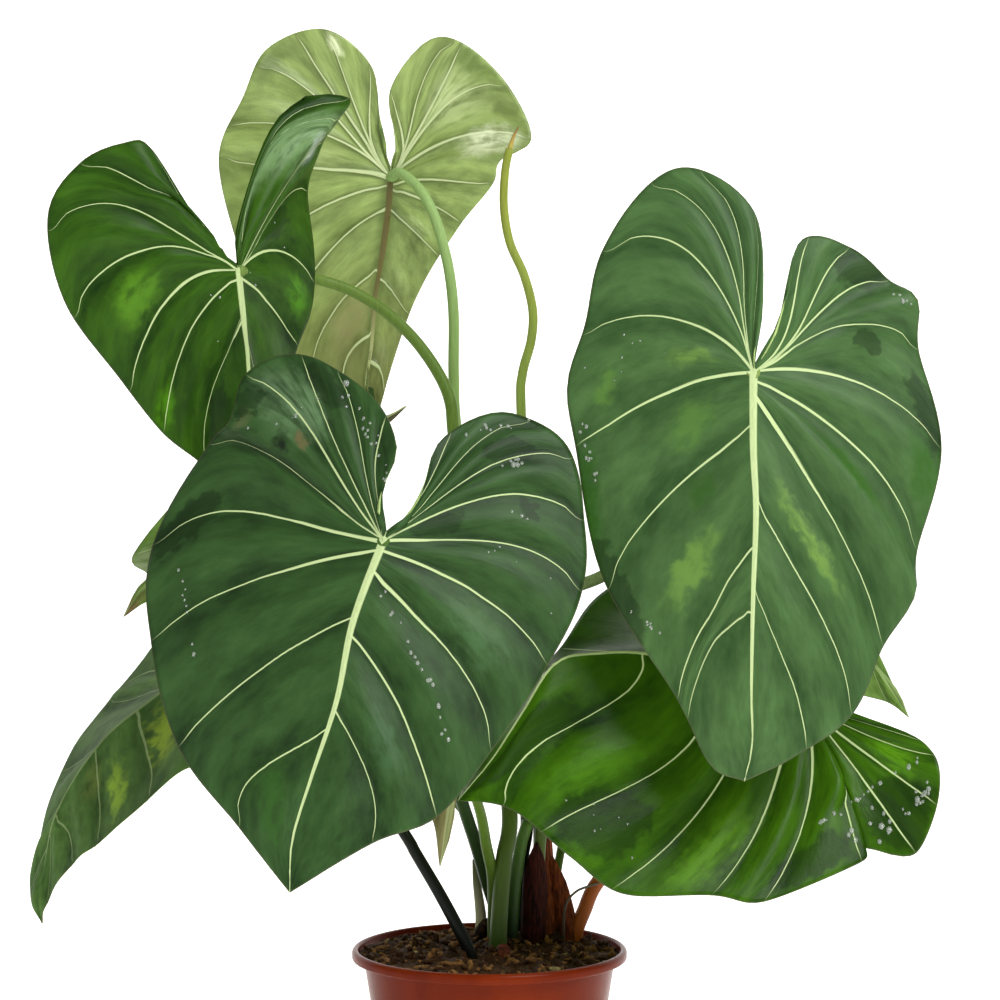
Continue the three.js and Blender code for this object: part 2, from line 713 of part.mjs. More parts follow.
function potGeometry() {
  const { height, rimRadius, lipHeight, wall, floor, collarFoot, collarRise, footRadius } = POT;
  const underLip = height - lipHeight;
  const lip = rimRadius - (rimRadius - potRadiusAt(underLip)) / 2;
  const lipHalf = rimRadius - lip;
  const outline = [
    [0, 0],
    [footRadius - 4, 0],
    [potRadiusAt(2), 2],
    [potRadiusAt(collarFoot - collarRise), collarFoot - collarRise],
    [potRadiusAt(collarFoot), collarFoot],
    [potRadiusAt(underLip), underLip],
    [rimRadius - 1.2, underLip],
    [rimRadius, underLip + 1.4],
    [rimRadius, height - 2.6],
    [lip + 0.6 * lipHalf, height - 0.6],
    [lip, height],
    [lip - 0.6 * lipHalf, height - 0.6],
    [lip - lipHalf, height - 2.6],
    [potRadiusAt(underLip) - wall, underLip - 2],
    [potRadiusAt(collarFoot) - wall, collarFoot],
    [potRadiusAt(collarFoot - collarRise) - wall, collarFoot - collarRise],
    [potRadiusAt(floor) - wall, floor],
    [0, floor],
  ];
  const profile = outline.map(([radius, up]) => new THREE.Vector2(radius, up));
  const lathe = new THREE.LatheGeometry(profile, POT.sides);
  lathe.rotateX(Math.PI / 2);
  let pot = solidFrom(lathe);
  for (let i = 0; i < POT.drainHoles; i++) {
    const angle = (2 * Math.PI * (i + 0.5)) / POT.drainHoles;
    const hole = new THREE.CylinderGeometry(POT.drainRadius, POT.drainRadius, 4 * floor, 12);
    hole.rotateX(Math.PI / 2);
    hole.translate(POT.drainCircle * Math.cos(angle), POT.drainCircle * Math.sin(angle), 0);
    pot = pot.subtract(solidFrom(hole));
  }
  return geometryFrom(pot);
}

// The height of the soil's lumpy top.
function soilHeight(x, y, edge) {
  const out = Math.min(Math.hypot(x, y) / edge, 1);
  const coarse = Math.sin(x / 7.3 + 1.1) * Math.sin(y / 6.1 + 0.4);
  const fine = Math.sin(x / 3.9 + y / 9 + 2) * Math.sin(y / 4.3 - x / 11);
  const lumps = SOIL.lump * (coarse + 0.7 * fine) * (1 - out ** 6);
  return SOIL.edgeHeight + SOIL.mound * (1 - out ** 2) + lumps;
}

function soilGeometry() {
  const { edgeHeight, rings, sides } = SOIL;
  const flat = Math.cos(Math.PI / POT.sides);
  const inside = (height) => (potRadiusAt(height) - POT.wall - CLEARANCE) * flat;
  const edge = inside(edgeHeight);
  const floor = POT.floor + CLEARANCE;
  const belowCollar = POT.collarFoot - POT.collarRise - CLEARANCE;
  const levels = [edgeHeight, POT.collarFoot + CLEARANCE, belowCollar, floor];
  const points = [new THREE.Vector3(0, 0, soilHeight(0, 0, edge))];
  const ring = (radius, heightAt) => {
    for (let k = 0; k < sides; k++) {
      const angle = (2 * Math.PI * k) / sides;
      const [x, y] = [radius * Math.cos(angle), radius * Math.sin(angle)];
      points.push(new THREE.Vector3(x, y, heightAt(x, y)));
    }
  };
  for (let i = 1; i < rings; i++) ring((edge * i) / rings, (x, y) => soilHeight(x, y, edge));
  for (const level of levels) ring(inside(level), () => level);
  const bottom = points.push(new THREE.Vector3(0, 0, floor)) - 1;
  const count = rings - 1 + levels.length;
  const faces = [];
  for (let k = 0; k < sides; k++) {
    const next = (k + 1) % sides;
    faces.push([0, 1 + k, 1 + next]);
    for (let i = 0; i + 1 < count; i++) {
      const [a, b] = [1 + i * sides + k, 1 + i * sides + next];
      faces.push([a, a + sides, b + sides], [a, b + sides, b]);
    }
    faces.push([bottom, 1 + (count - 1) * sides + next, 1 + (count - 1) * sides + k]);
  }
  return indexedGeometry(points, faces);
}

// ---------------------------------------------------------------- the plant in its pot

const plant = new THREE.Group();

function addPiece(name, geometry, colour, roughness = 0.6) {
  const material = new THREE.MeshStandardMaterial({ color: colour, roughness, metalness: 0 });
  const mesh = new THREE.Mesh(geometry, material);
  mesh.name = name;
  plant.add(mesh);
}

addPiece("pot", potGeometry(), COLOURS.pot, 0.35);

for (const [name, leaf] of Object.entries(LEAVES)) {
  addPiece(name, bladeGeometry(leaf), leaf.colour, 0.5);
}

// What a blade takes away from the end of its stalk: a flat seat under its middle, and the
// blade itself.
function seatCutters(leaf) {
  const { up } = stalkFrame(leaf);
  const depth = BLADE.half + CLEARANCE + SEAT.depth * (leaf.small ? BLADE.smallScale : 1);
  const seat = new THREE.CylinderGeometry(SEAT.radius, SEAT.radius, SEAT.height, 16);
  seat.translate(0, SEAT.height / 2 - depth, 0);
  seat.applyQuaternion(new THREE.Quaternion().setFromUnitVectors(new THREE.Vector3(0, 1, 0), up));
  seat.translate(...leaf.midrib[0]);
  return [solidFrom(seat), solidFrom(bladeGeometry(leaf, CLEARANCE))];
}

for (const [name, stalk] of Object.entries(STALKS)) {
  const whole = solidFrom(stemGeometry(stalk));
  const seated = largestPiece(cutAll(whole, seatCutters(LEAVES[stalk.leaf])));
  addPiece(name, geometryFrom(seated), stalk.colour);
}

const thread = solidFrom(stemGeometry(BARE_STALK.thread, { sides: 5, rings: 4 }));
const bareStalk = solidFrom(stemGeometry(BARE_STALK)).add(thread);
addPiece("stalk_bare", geometryFrom(bareStalk), BARE_STALK.colour);

for (const [name, stub] of Object.entries(STUBS)) {
  addPiece(name, stemGeometry(stub), stub.colour);
}
addPiece("aerial_root", stemGeometry(AERIAL_ROOT, { sides: 6, rings: 9 }), AERIAL_ROOT.colour);
for (const [name, husk] of Object.entries(HUSKS)) {
  addPiece(name, huskGeometry(husk), COLOURS.husk, 0.8);
}

// The rhizome has a plain hole for each stalk that stands in it, and the soil has one for
// the rhizome and for every stem.
const stems = [...Object.values(STALKS), BARE_STALK, ...Object.values(STUBS), AERIAL_ROOT];
const stemCutters = stems.map((stem) => solidFrom(stemGeometry(stem, { extra: CLEARANCE })));
const huskCutters = Object.values(HUSKS).map((husk) => solidFrom(huskGeometry(husk, CLEARANCE)));

const rhizome = largestPiece(cutAll(solidFrom(rhizomeGeometry()), [...stemCutters, ...huskCutters]));
addPiece("rhizome", geometryFrom(rhizome), COLOURS.rhizome, 0.9);

const rhizomeCutter = solidFrom(rhizomeGeometry(CLEARANCE));
const soilCutters = [...stemCutters, ...huskCutters, rhizomeCutter];
const soil = largestPiece(cutAll(solidFrom(soilGeometry()), soilCutters));
addPiece("soil", geometryFrom(soil), COLOURS.soil, 1);

export default plant;
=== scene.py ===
"""The finished look of a Philodendron gloriosum in its plastic nursery pot.

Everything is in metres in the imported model's frame: +Z up, the front leaves facing -Y. The
routes and outlines are the grown plant's own places, in millimetres from the middle of the
pot's base, as the solids have them.
"""

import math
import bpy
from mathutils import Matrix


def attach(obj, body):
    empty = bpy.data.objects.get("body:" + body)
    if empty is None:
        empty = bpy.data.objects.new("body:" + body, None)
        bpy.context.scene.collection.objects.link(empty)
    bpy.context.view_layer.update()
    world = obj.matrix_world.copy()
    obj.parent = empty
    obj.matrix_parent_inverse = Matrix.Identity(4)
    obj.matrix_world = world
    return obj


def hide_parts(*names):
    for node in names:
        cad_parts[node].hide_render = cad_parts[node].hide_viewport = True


bl_info = {
    "name": "Philodendron gloriosum in a pot",
    "version": (1, 0, 0),
    "blender": (4, 5, 0),
    "location": "3D View > Sidebar > Gloriosum",
    "description": "Dresses the packed plant with veined blades, stalks, soil and a moulded pot",
    "category": "Object",
}

import bmesh
import bpy
import numpy as np
from mathutils import Matrix, Vector, noise
from mathutils.bvhtree import BVHTree

MM = 0.001
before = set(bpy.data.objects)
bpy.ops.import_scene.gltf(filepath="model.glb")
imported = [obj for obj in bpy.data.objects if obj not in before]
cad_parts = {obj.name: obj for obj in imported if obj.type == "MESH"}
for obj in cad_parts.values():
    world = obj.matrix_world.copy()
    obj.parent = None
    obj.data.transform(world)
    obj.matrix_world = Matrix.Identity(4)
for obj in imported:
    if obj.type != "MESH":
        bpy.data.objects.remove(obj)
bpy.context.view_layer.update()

# ------------------------------------------------------------------ the grown shapes

# A place on a margin is (x, y, z). A fourth number gives the part of the midrib, from 0 at the
# stalk to 1 at the tip, that the blade's line to that place starts from.
LEAVES = {
    "leaf_front": {
        "midrib": [
            (-65, -165, 432), (-83, -179, 382), (-92, -193, 335), (-107, -204, 288),
            (-117, -215, 253), (-118, -222, 223),
        ],
        "sinus": (-63, -165, 438),
        "left": [
            (-65, -160, 462), (-57, -150, 490, 0), (-75, -128, 524, 0), (-121, -105, 551, 0),
            (-158, -96, 539, 0), (-166, -112, 508), (-181, -104, 493, 0), (-214, -126, 428, 0),
            (-210, -160, 369, 0.03), (-189, -188, 306, 0.24), (-150, -208, 260, 0.56),
        ],
        "right": [
            (-45, -158, 455), (-30, -138, 495, 0), (10, -120, 513, 0), (50, -118, 492, 0),
            (61, -128, 444, 0), (59, -142, 399, 0), (37, -160, 354, 0.03), (2, -182, 303, 0.09),
            (-31, -200, 265, 0.28), (-69, -212, 251, 0.49),
        ],
    },
    "leaf_right": {
        "midrib": [
            (170, -115, 539), (169, -124, 489), (170, -130, 451), (167, -140, 394),
            (165, -148, 338), (165, -152, 304), (160, -154, 281),
        ],
        "sinus": (171, -115, 545),
        "left": [
            (177, -108, 586), (173, -98, 643, 0), (138, -88, 673, 0), (106, -84, 665, 0),
            (74, -86, 620, 0), (63, -90, 573, 0), (51, -98, 532), (56, -105, 491, 0),
            (73, -118, 407, 0.14), (118, -138, 333, 0.43), (139, -150, 291),
        ],
        "right": [
            (186, -110, 574), (202, -100, 625, 0), (235, -92, 622, 0), (262, -86, 601, 0),
            (279, -94, 587), (281, -88, 555, 0), (294, -98, 490, 0), (276, -110, 424, 0.02),
            (272, -120, 394), (252, -122, 363, 0.05), (230, -136, 321, 0.31),
            (193, -146, 296, 0.55),
        ],
    },
    "leaf_low_right": {
        "midrib": [
            (210, -55, 320), (161, -58, 342), (108, -64, 355), (73, -68, 356), (44, -76, 350),
            (22, -86, 318), (2, -94, 288), (-20, -99, 262),
        ],
        "sinus": (220, -55, 325),
        "left": [
            (241, -35, 329), (261, -5, 347, 0), (250, 30, 380, 0), (207, 50, 404, 0),
            (143, 58, 413, 0.06), (83, 50, 393, 0.2), (49, 20, 353, 0.4), (1, -36, 302, 0.65),
        ],
        "right": [
            (240, -62, 316), (284, -82, 299, 0), (294, -94, 272, 0), (277, -100, 228, 0),
            (244, -92, 230), (242, -98, 222, 0), (177, -114, 199, 0), (143, -114, 203, 0.03),
            (87, -116, 204, 0.1), (54, -114, 226, 0.17), (29, -110, 247, 0.3),
            (9, -104, 259, 0.6),
        ],
    },
    "leaf_high_left": {
        "midrib": [
            (-169, -35, 612), (-166, -33, 580), (-163, -30, 550), (-165, -22, 505),
            (-179, -12, 454),
        ],
        "sinus": (-171, -35, 617),
        "left": [
            (-191, -40, 634), (-225, -52, 691, 0), (-243, -58, 695), (-273, -56, 682, 0),
            (-293, -64, 646, 0), (-283, -58, 589, 0), (-248, -45, 538, 0),
            (-221, -32, 502, 0.03), (-194, -20, 479, 0.17),
        ],
        "right": [
            (-170, -28, 657), (-143, 8, 730), (-99, 30, 740, 0), (-117, 38, 712, 0),
            (-129, 42, 677, 0), (-124, 40, 611, 0), (-135, 30, 565, 0.03), (-156, 8, 506, 0.3),
        ],
    },
    "leaf_top": {
        "midrib": [
            (-73, 101, 694), (-75, 102, 670), (-79, 103, 641), (-85, 106, 604), (-88, 108, 568),
            (-92, 108, 538), (-83, 106, 517), (-61, 102, 526),
        ],
        "sinus": (-73, 100, 702),
        "left": [
            (-70, 98, 720), (-73, 92, 757, 0), (-47, 86, 791, 0), (-20, 80, 789, 0),
            (13, 88, 760, 0), (30, 78, 719, 0), (7, 90, 704), (2, 92, 688, 0.04),
            (-21, 98, 660, 0.07), (-48, 104, 619, 0.12), (-64, 108, 582, 0.36),
            (-78, 110, 537, 0.66), (-80, 108, 520),
        ],
        "right": [
            (-82, 97, 728), (-86, 92, 773, 0), (-120, 86, 800, 0), (-162, 88, 787, 0),
            (-180, 84, 750, 0), (-198, 88, 706, 0), (-184, 94, 640, 0.04), (-163, 100, 582, 0.1),
            (-133, 106, 538, 0.3), (-105, 108, 512, 0.52), (-90, 107, 509), (-77, 104, 512),
        ],
    },
    "leaf_low_left": {
        "midrib": [
            (-178, 0, 371), (-202, -8, 344), (-227, -14, 324), (-264, -20, 293),
            (-293, -28, 247), (-301, -34, 205), (-302, -38, 171),
        ],
        "sinus": (-173, 2, 376),
        "left": [
            (-179, 30, 388), (-206, 70, 403, 0), (-230, 95, 384, 0), (-246, 100, 351, 0.05),
            (-286, 85, 300, 0.2), (-306, 50, 262, 0.42), (-313, 5, 216, 0.62),
            (-313, -22, 189, 0.8),
        ],
        "right": [
            (-154, -24, 372), (-135, -70, 338, 0), (-147, -95, 304, 0), (-170, -105, 289, 0),
            (-200, -108, 280, 0.05), (-243, -95, 242, 0.25), (-276, -70, 215, 0.5),
            (-296, -48, 187, 0.75),
        ],
    },
    "leaf_small_middle": {
        "midrib": [
            (-23, -125, 331), (-21, -127, 292), (-26, -128, 254), (-31, -128, 223),
        ],
        "sinus": (-23, -125, 336),
        "left": [
            (-28, -123, 347), (-44, -120, 350, 0), (-55, -119, 329, 0), (-51, -122, 288, 0),
            (-35, -126, 251, 0.3),
        ],
        "right": [
            (-16, -123, 346), (-5, -120, 342, 0), (-6, -120, 320, 0), (-17, -122, 287, 0),
            (-22, -125, 259, 0.3),
        ],
    },
    "leaf_small_right": {
        "midrib": [
            (212, -84, 397), (233, -88, 372), (255, -92, 345), (274, -92, 315),
        ],
        "sinus": (210, -84, 401),
        "left": [
            (201, -83, 401), (194, -82, 384, 0), (204, -84, 355, 0), (231, -87, 334, 0.2),
            (260, -91, 325, 0.55),
        ],
        "right": [
            (217, -83, 410), (237, -82, 410, 0), (248, -84, 390, 0), (251, -87, 366, 0.2),
            (263, -91, 338, 0.55),
        ],
    },
    "leaf_small_left": {
        "midrib": [
            (-148, -75, 444), (-177, -80, 423), (-206, -84, 410), (-226, -84, 399),
            (-240, -82, 380),
        ],
        "sinus": (-143, -75, 448),
        "left": [
            (-144, -73, 460), (-165, -70, 477, 0), (-197, -72, 465, 0), (-234, -78, 421, 0.2),
            (-224, -82, 408, 0.5), (-231, -83, 398),
        ],
        "right": [
            (-131, -73, 441), (-135, -72, 417, 0), (-161, -74, 391, 0), (-191, -78, 386, 0.2),
            (-221, -82, 391, 0.55),
        ],
    },
}

# Each side rib: where on the margin it ends, counted in places from the sinus, where along
# the midrib it starts, and where it lies at one third and at two thirds of its way.
RIBS = {
    "leaf_front": {
        "left": [
            (2.6, 0, (-70, -160, 455), (-72, -153, 478)),
            (3.5, 0, (-75, -149, 467), (-83, -133, 504)),
            (4, 0, (-85, -146, 470), (-104, -126, 510)),
            (5, 0, (-92, -142, 470), (-119, -119, 510)),
            (7, 0, (-101, -143, 459), (-138, -122, 488)),
            (8, 0, (-116, -148, 442), (-169, -135, 453)),
            (9, 0.03, (-118, -161, 415), (-168, -158, 398)),
            (10, 0.23, (-122, -179, 365), (-159, -182, 338)),
            (11, 0.545, (-122, -200, 304), (-146, -204, 287)),
        ],
        "right": [
            (2.2, 0, (-47, -155, 452), (-34, -145, 475)),
            (3.4, 0, (-36, -150, 460), (-10, -134, 491)),
            (4.2, 0, (-30, -149, 458), (9, -134, 482)),
            (5, 0, (-25, -151, 451), (20, -139, 461)), (6, 0, (-21, -155, 432), (24, -147, 427)),
            (7, 0.03, (-28, -161, 410), (9, -159, 387)),
            (8, 0.09, (-41, -172, 381), (-11, -176, 346)),
            (9, 0.28, (-60, -186, 341), (-43, -192, 304)),
            (10, 0.49, (-79, -200, 305), (-69, -206, 279)),
        ],
    },
    "leaf_right": {
        "left": [
            (2, 0, (171, -109, 573), (174, -104, 608)),
            (3, 0, (165, -106, 585), (162, -97, 632)), (4, 0, (162, -105, 588), (146, -94, 636)),
            (5, 0, (153, -105, 587), (120, -95, 625)),
            (6.2, 0, (140, -106, 567), (100, -98, 577)),
            (8, 0, (129, -109, 531), (91, -106, 514)),
            (9.1, 0.13, (133, -118, 475), (98, -118, 441)),
            (10.1, 0.43, (147, -135, 397), (131, -137, 363)),
            (10.2, 0.59, (144, -140, 370), (130, -140, 348)),
        ],
        "right": [
            (2.2, 0, (191, -109, 564), (199, -104, 596)),
            (3, 0, (197, -107, 562), (213, -100, 594)),
            (4, 0, (199, -105, 563), (227, -95, 590)), (6, 0, (206, -105, 559), (245, -96, 572)),
            (7, 0, (217, -107, 539), (261, -101, 523)),
            (8, 0.02, (216, -111, 509), (255, -109, 472)),
            (10, 0.06, (203, -117, 473), (233, -118, 420)),
            (11, 0.31, (194, -130, 414), (218, -132, 369)),
            (11.8, 0.53, (181, -139, 368), (194, -141, 335)),
        ],
    },
    "leaf_low_right": {
        "left": [
            (2, 0), (3, 0), (4, 0), (5, 0.06), (6, 0.2), (7, 0.4), (8, 0.65),
        ],
        "right": [
            (2, 0, (235, -62, 313), (260, -71, 306)), (2.4, 0, (237, -63, 307), (264, -74, 296)),
            (3.3, 0, (238, -65, 298), (265, -79, 278)), (4, 0, (235, -66, 289), (257, -81, 258)),
            (6, 0, (226, -66, 288), (234, -81, 254)), (7, 0, (213, -73, 276), (201, -93, 235)),
            (8, 0.03, (191, -74, 279), (172, -94, 237)),
            (9.2, 0.12, (158, -77, 283), (123, -97, 239)),
            (10.8, 0.26, (132, -78, 296), (84, -95, 267)),
            (12, 0.4, (82, -79, 324), (36, -92, 300)),
        ],
    },
    "leaf_high_left": {
        "left": [
            (2, 0, (-193, -40, 634), (-210, -46, 663)),
            (4, 0, (-201, -42, 641), (-233, -49, 670)),
            (5.2, 0, (-209, -45, 638), (-252, -54, 655)),
            (6.2, 0, (-211, -43, 627), (-253, -50, 615)),
            (7.2, 0, (-207, -39, 602), (-231, -41, 569)),
            (8, 0.03, (-198, -34, 580), (-214, -33, 542)),
            (9, 0.2, (-182, -28, 548), (-193, -24, 515)),
        ],
        "right": [
            (3, 0, (-167, -18, 666), (-146, 3, 715)), (3.5, 0, (-164, -17, 661), (-145, 7, 706)),
            (4, 0, (-165, -16, 653), (-149, 9, 692)), (5, 0, (-167, -13, 643), (-152, 12, 669)),
            (6, 0, (-153, -10, 628), (-134, 15, 628)),
            (7, 0.03, (-156, -10, 597), (-145, 11, 582)), (8, 0.3),
        ],
    },
    "leaf_top": {
        "left": [
            (2, 0, (-64, 98, 714), (-67, 95, 736)), (3.8, 0, (-59, 95, 728), (-49, 88, 764)),
            (4, 0, (-54, 95, 725), (-36, 88, 757)), (5, 0, (-51, 97, 726), (-24, 93, 753)),
            (6, 0, (-42, 94, 715), (-7, 86, 725)), (8, 0.03, (-49, 98, 692), (-23, 95, 690)),
            (9, 0.045, (-56, 100, 680), (-38, 99, 671)),
            (9.6, 0.11, (-62, 102, 660), (-49, 102, 648)),
            (10.7, 0.36, (-74, 105, 613), (-67, 106, 603)),
            (12, 0.66, (-82, 109, 555), (-79, 109, 546)),
        ],
        "right": [
            (2.1, 0, (-87, 98, 719), (-88, 95, 748)), (3, 0, (-92, 97, 728), (-106, 92, 765)),
            (3.5, 0, (-97, 97, 728), (-120, 92, 763)),
            (4.4, 0, (-103, 96, 726), (-133, 92, 757)),
            (5.5, 0, (-108, 96, 719), (-148, 90, 731)), (6, 0, (-115, 96, 699), (-157, 92, 701)),
            (7, 0.03, (-112, 98, 677), (-148, 96, 658)),
            (8, 0.11, (-110, 101, 648), (-137, 100, 615)),
            (9, 0.33, (-109, 104, 604), (-127, 105, 574)),
            (10, 0.56, (-106, 107, 562), (-109, 108, 538)),
        ],
    },
    "leaf_low_left": {
        "left": [
            (2, 0), (3, 0), (4.6, 0.12, (-221, 32, 337), (-247, 66, 335)),
            (4.8, 0.25, (-241, 26, 322), (-260, 60, 313)),
            (6, 0.5, (-282, 6, 282), (-295, 30, 272)), (7, 0.62), (8, 0.8),
        ],
        "right": [
            (2, 0), (3, 0), (4, 0), (5.5, 0.35, (-234, -46, 295), (-225, -75, 279)),
            (6.4, 0.5, (-266, -45, 268), (-261, -66, 249)),
            (7, 0.72, (-284, -44, 234), (-279, -57, 225)), (8, 0.75),
        ],
    },
}

# Each stalk from its foot in the soil to its blade, with its radius at both ends.
STALKS = {
    "stalk_front": {
        "leaf": "leaf_front", "foot": 4.9, "top": 3.4, "look": "dark",
        "route": [
            (7, 24, 138), (7, 22, 152), (5, 18, 169), (-2, 12, 192), (-9, 5, 217),
            (-17, -5, 243), (-29, -25, 284), (-43, -60, 331), (-57, -100, 379),
            (-64, -140, 418), (-65, -165, 432),
        ],
    },
    "stalk_right": {
        "leaf": "leaf_right", "foot": 5, "top": 3.8, "look": "ashen",
        "route": [
            (39, 36, 137), (39, 36, 153), (36, 38, 195), (36, 44, 258), (37, 50, 322),
            (42, 44, 375), (58, 28, 394), (77, 16, 403), (115, 5, 423), (144, -15, 452),
            (165, -50, 497), (171, -92, 533), (170, -115, 539),
        ],
    },
    "stalk_low_right": {
        "leaf": "leaf_low_right", "foot": 5.4, "top": 3.6, "look": "brown",
        "route": [
            (60, 36, 134), (61, 36, 151), (67, 36, 167), (76, 37, 186), (100, 36, 212),
            (134, 26, 232), (174, 5, 259), (201, -25, 297), (210, -55, 320),
        ],
    },
    "stalk_high_left": {
        "leaf": "leaf_high_left", "foot": 6, "top": 3.4, "look": "olive",
        "route": [
            (6, -8, 130), (6, -8, 151), (7, -8, 171), (10, -6, 209), (14, -2, 242),
            (4, 12, 318), (-14, 30, 415), (-25, 42, 500), (-28, 46, 527), (-37, 51, 548),
            (-54, 57, 572), (-76, 62, 593), (-101, 63, 608), (-124, 57, 615),
            (-146, 32, 618), (-163, -8, 614), (-169, -35, 612),
        ],
    },
    "stalk_top": {
        "leaf": "leaf_top", "foot": 4.8, "top": 3.6, "look": "pale",
        "route": [
            (17, 36, 138), (17, 36, 150), (19, 36, 163), (23, 40, 202), (26, 44, 237),
            (13, 52, 314), (-11, 60, 414), (-24, 65, 507), (-26, 66, 548), (-26, 66, 589),
            (-29, 67, 620), (-35, 69, 646), (-43, 73, 669), (-54, 80, 686), (-66, 90, 696),
            (-73, 101, 694),
        ],
    },
    "stalk_low_left": {
        "leaf": "leaf_low_left", "foot": 4.4, "top": 3.2, "look": "black",
        "route": [
            (-8, -33, 128), (-13, -33, 150), (-22, -33, 169), (-34, -32, 191),
            (-50, -31, 218), (-57, -30, 230), (-95, -16, 285), (-138, 4, 331),
            (-166, 8, 356), (-178, 0, 371),
        ],
    },
    "stalk_small_middle": {
        "leaf": "leaf_small_middle", "foot": 4.8, "top": 2.2, "look": "olive",
        "route": [
            (3, 10, 130), (3, 8, 157), (3, 3, 177), (2, -4, 199), (-2, -14, 220),
            (-6, -30, 245), (-15, -60, 277), (-21, -100, 313), (-23, -125, 331),
        ],
    },
    "stalk_small_right": {
        "leaf": "leaf_small_right", "foot": 3.2, "top": 2.2, "look": "olive",
        "route": [
            (45, 56, 137), (45, 57, 153), (46, 60, 170), (50, 67, 198), (60, 80, 240),
            (80, 96, 300), (105, 98, 380), (140, 75, 445), (185, 10, 450), (207, -52, 425),
            (212, -84, 397),
        ],
    },
    "stalk_small_left": {
        "leaf": "leaf_small_left", "foot": 3, "top": 2, "look": "olive",
        "route": [
            (12, 48, 130), (11, 47, 152), (6, 43, 170), (-4, 37, 199), (-17, 30, 235),
            (-62, 15, 286), (-109, -20, 361), (-141, -55, 427), (-148, -75, 444),
        ],
    },
    "stalk_bare": {
        "foot": 4.6, "top": 2.8, "look": "yellow",
        "route": [
            (32, 22, 138), (32, 22, 159), (33, 22, 177), (35, 22, 212), (37, 22, 247),
            (35, 20, 317), (27, 16, 415), (22, 9, 520), (23, 8, 545), (29, 7, 568),
            (30, 6, 589), (24, 5, 613), (14, 4, 636), (10, 3, 661), (11, 1, 685), (14, 0, 700),
        ],
    },
    "stub_cut": {
        "foot": 4.9, "top": 4.2, "look": "dark",
        "route": [(15, 17, 136), (15.5, 18, 156), (17.5, 19, 185), (22, 20, 215), (27, 21, 232)],
    },
    "stub_dry": {
        "foot": 5.2, "top": 2.2, "look": "grey",
        "route": [(-6, 32, 130), (-6, 32, 160), (-7, 31, 172), (-9, 30, 188), (-10, 29, 204)],
    },
    "aerial_root": {
        "foot": 1, "top": 0.8, "look": "root",
        "route": [
            (52, 24, 132), (52, 24, 160), (54, 25, 174), (61, 26, 182), (69, 28, 185),
            (77, 30, 187),
        ],
    },
}
DRY_THREAD = [(14, 0, 699), (15, 0, 703), (17, 0, 709), (20, 1, 715)]

RHIZOME = {
    "route": [(-16, -24, 134), (0, -4, 139), (13, 20, 142), (34, 30, 143), (58, 40, 138)],
    "radius": 12, "knuckle": 1.3, "knuckles": 7,
}

# Each sheath's foot and tip, its width, the radius of its curl and, in degrees from +X, where
# its hollow side faces.
HUSKS = {
    "husk_tall": {
        "foot": (43, 27, 134), "tip": (38, 29, 240), "width": 27, "curl": 9, "hollow": 110,
    },
    "husk_right": {
        "foot": (54, 29, 134), "tip": (44, 29, 206), "width": 23, "curl": 10, "hollow": 75,
    },
    "husk_dark": {
        "foot": (30, 13, 134), "tip": (33, 14, 218), "width": 31, "curl": 9, "hollow": 90,
    },
}
# The growing tip of the stem, and the dead foot of an old stalk.
BUDS = [
    {"route": [(8, -10, 136), (9, -20, 147), (10, -31, 147), (11, -39, 140)], "radius": 5.5},
    {"route": [(-9, 36, 138), (-7, 31, 150), (-3, 29, 158), (0, 28, 162)], "radius": 4.5},
]

# The moulded pot's profile, as (radius, height).
POT_PROFILE = [
    (0, 0.0), (40, 0.0), (60, 0.0), (62, 0.1), (63.4, 0.6), (64.2, 2.0), (66, 12), (78.2, 97),
    (78.6, 99.2), (79.0, 100.2), (80.1, 101.2), (80.5, 102.4), (80.8, 104), (86.4, 139.0),
    (86.9, 140.6), (88.0, 141.0), (93.8, 141.0), (94.7, 141.5), (95, 142.4), (95, 145.4),
    (94.6, 146.6), (93.6, 147.6), (92.6, 148.0), (91.4, 147.8), (90.8, 147.2), (90.4, 146),
    (90.0, 142.6), (84.6, 139.0), (78.6, 104), (77.2, 100), (75.8, 97), (64.0, 5), (62, 3.2),
    (60, 3), (0, 3),
]
POT_STEPS = 144  # round the pot
DRAIN_HOLES = {"count": 8, "radius": 4.5, "circle": 46}
HOLE_DEPTH = 20

# ------------------------------------------------------------------ sizes and colours


def linear(code):
    """An sRGB hex colour as linear red, green, blue and alpha."""
    channels = [int(code[i : i + 2], 16) / 255 for i in (0, 2, 4)]
    return (*(c / 12.92 if c <= 0.04045 else ((c + 0.055) / 1.055) ** 2.4 for c in channels), 1)


def length(name, description, default):
    """A size in metres, as a property."""
    return bpy.props.FloatProperty(
        name=name, description=description, default=default, min=0, precision=5, unit="LENGTH"
    )


def colour(name, description, code):
    """A colour, as a property."""
    return bpy.props.FloatVectorProperty(
        name=name, description=description, default=linear(code), size=4, min=0, max=1,
        subtype="COLOR",
    )


class GloriosumBlades(bpy.types.PropertyGroup):
    """What the leaf blades share."""

    half_thickness: length("Half thickness", "Half of a blade's thickness", 0.28 * MM)
    swell: bpy.props.FloatProperty(
        name="Swell", description="Rise between two ribs, as a part of their distance",
        default=0.12, min=0, subtype="FACTOR",
    )
    swell_limit: length("Swell limit", "The most that a blade rises between ribs", 3.6 * MM)
    rib_half_width: length("Rib half width", "Half of a side rib's width at its start", 0.9 * MM)
    midrib_half_width: length(
        "Midrib half width", "Half of the midrib's width at the stalk", 2.6 * MM
    )
    rib_depth: length("Rib depth", "How far a side rib stands out below", 1.0 * MM)
    midrib_depth: length("Midrib depth", "How far the midrib stands out below", 2.0 * MM)
    vein: colour("Veins", "The pale veins of the upper face", "bfd296")


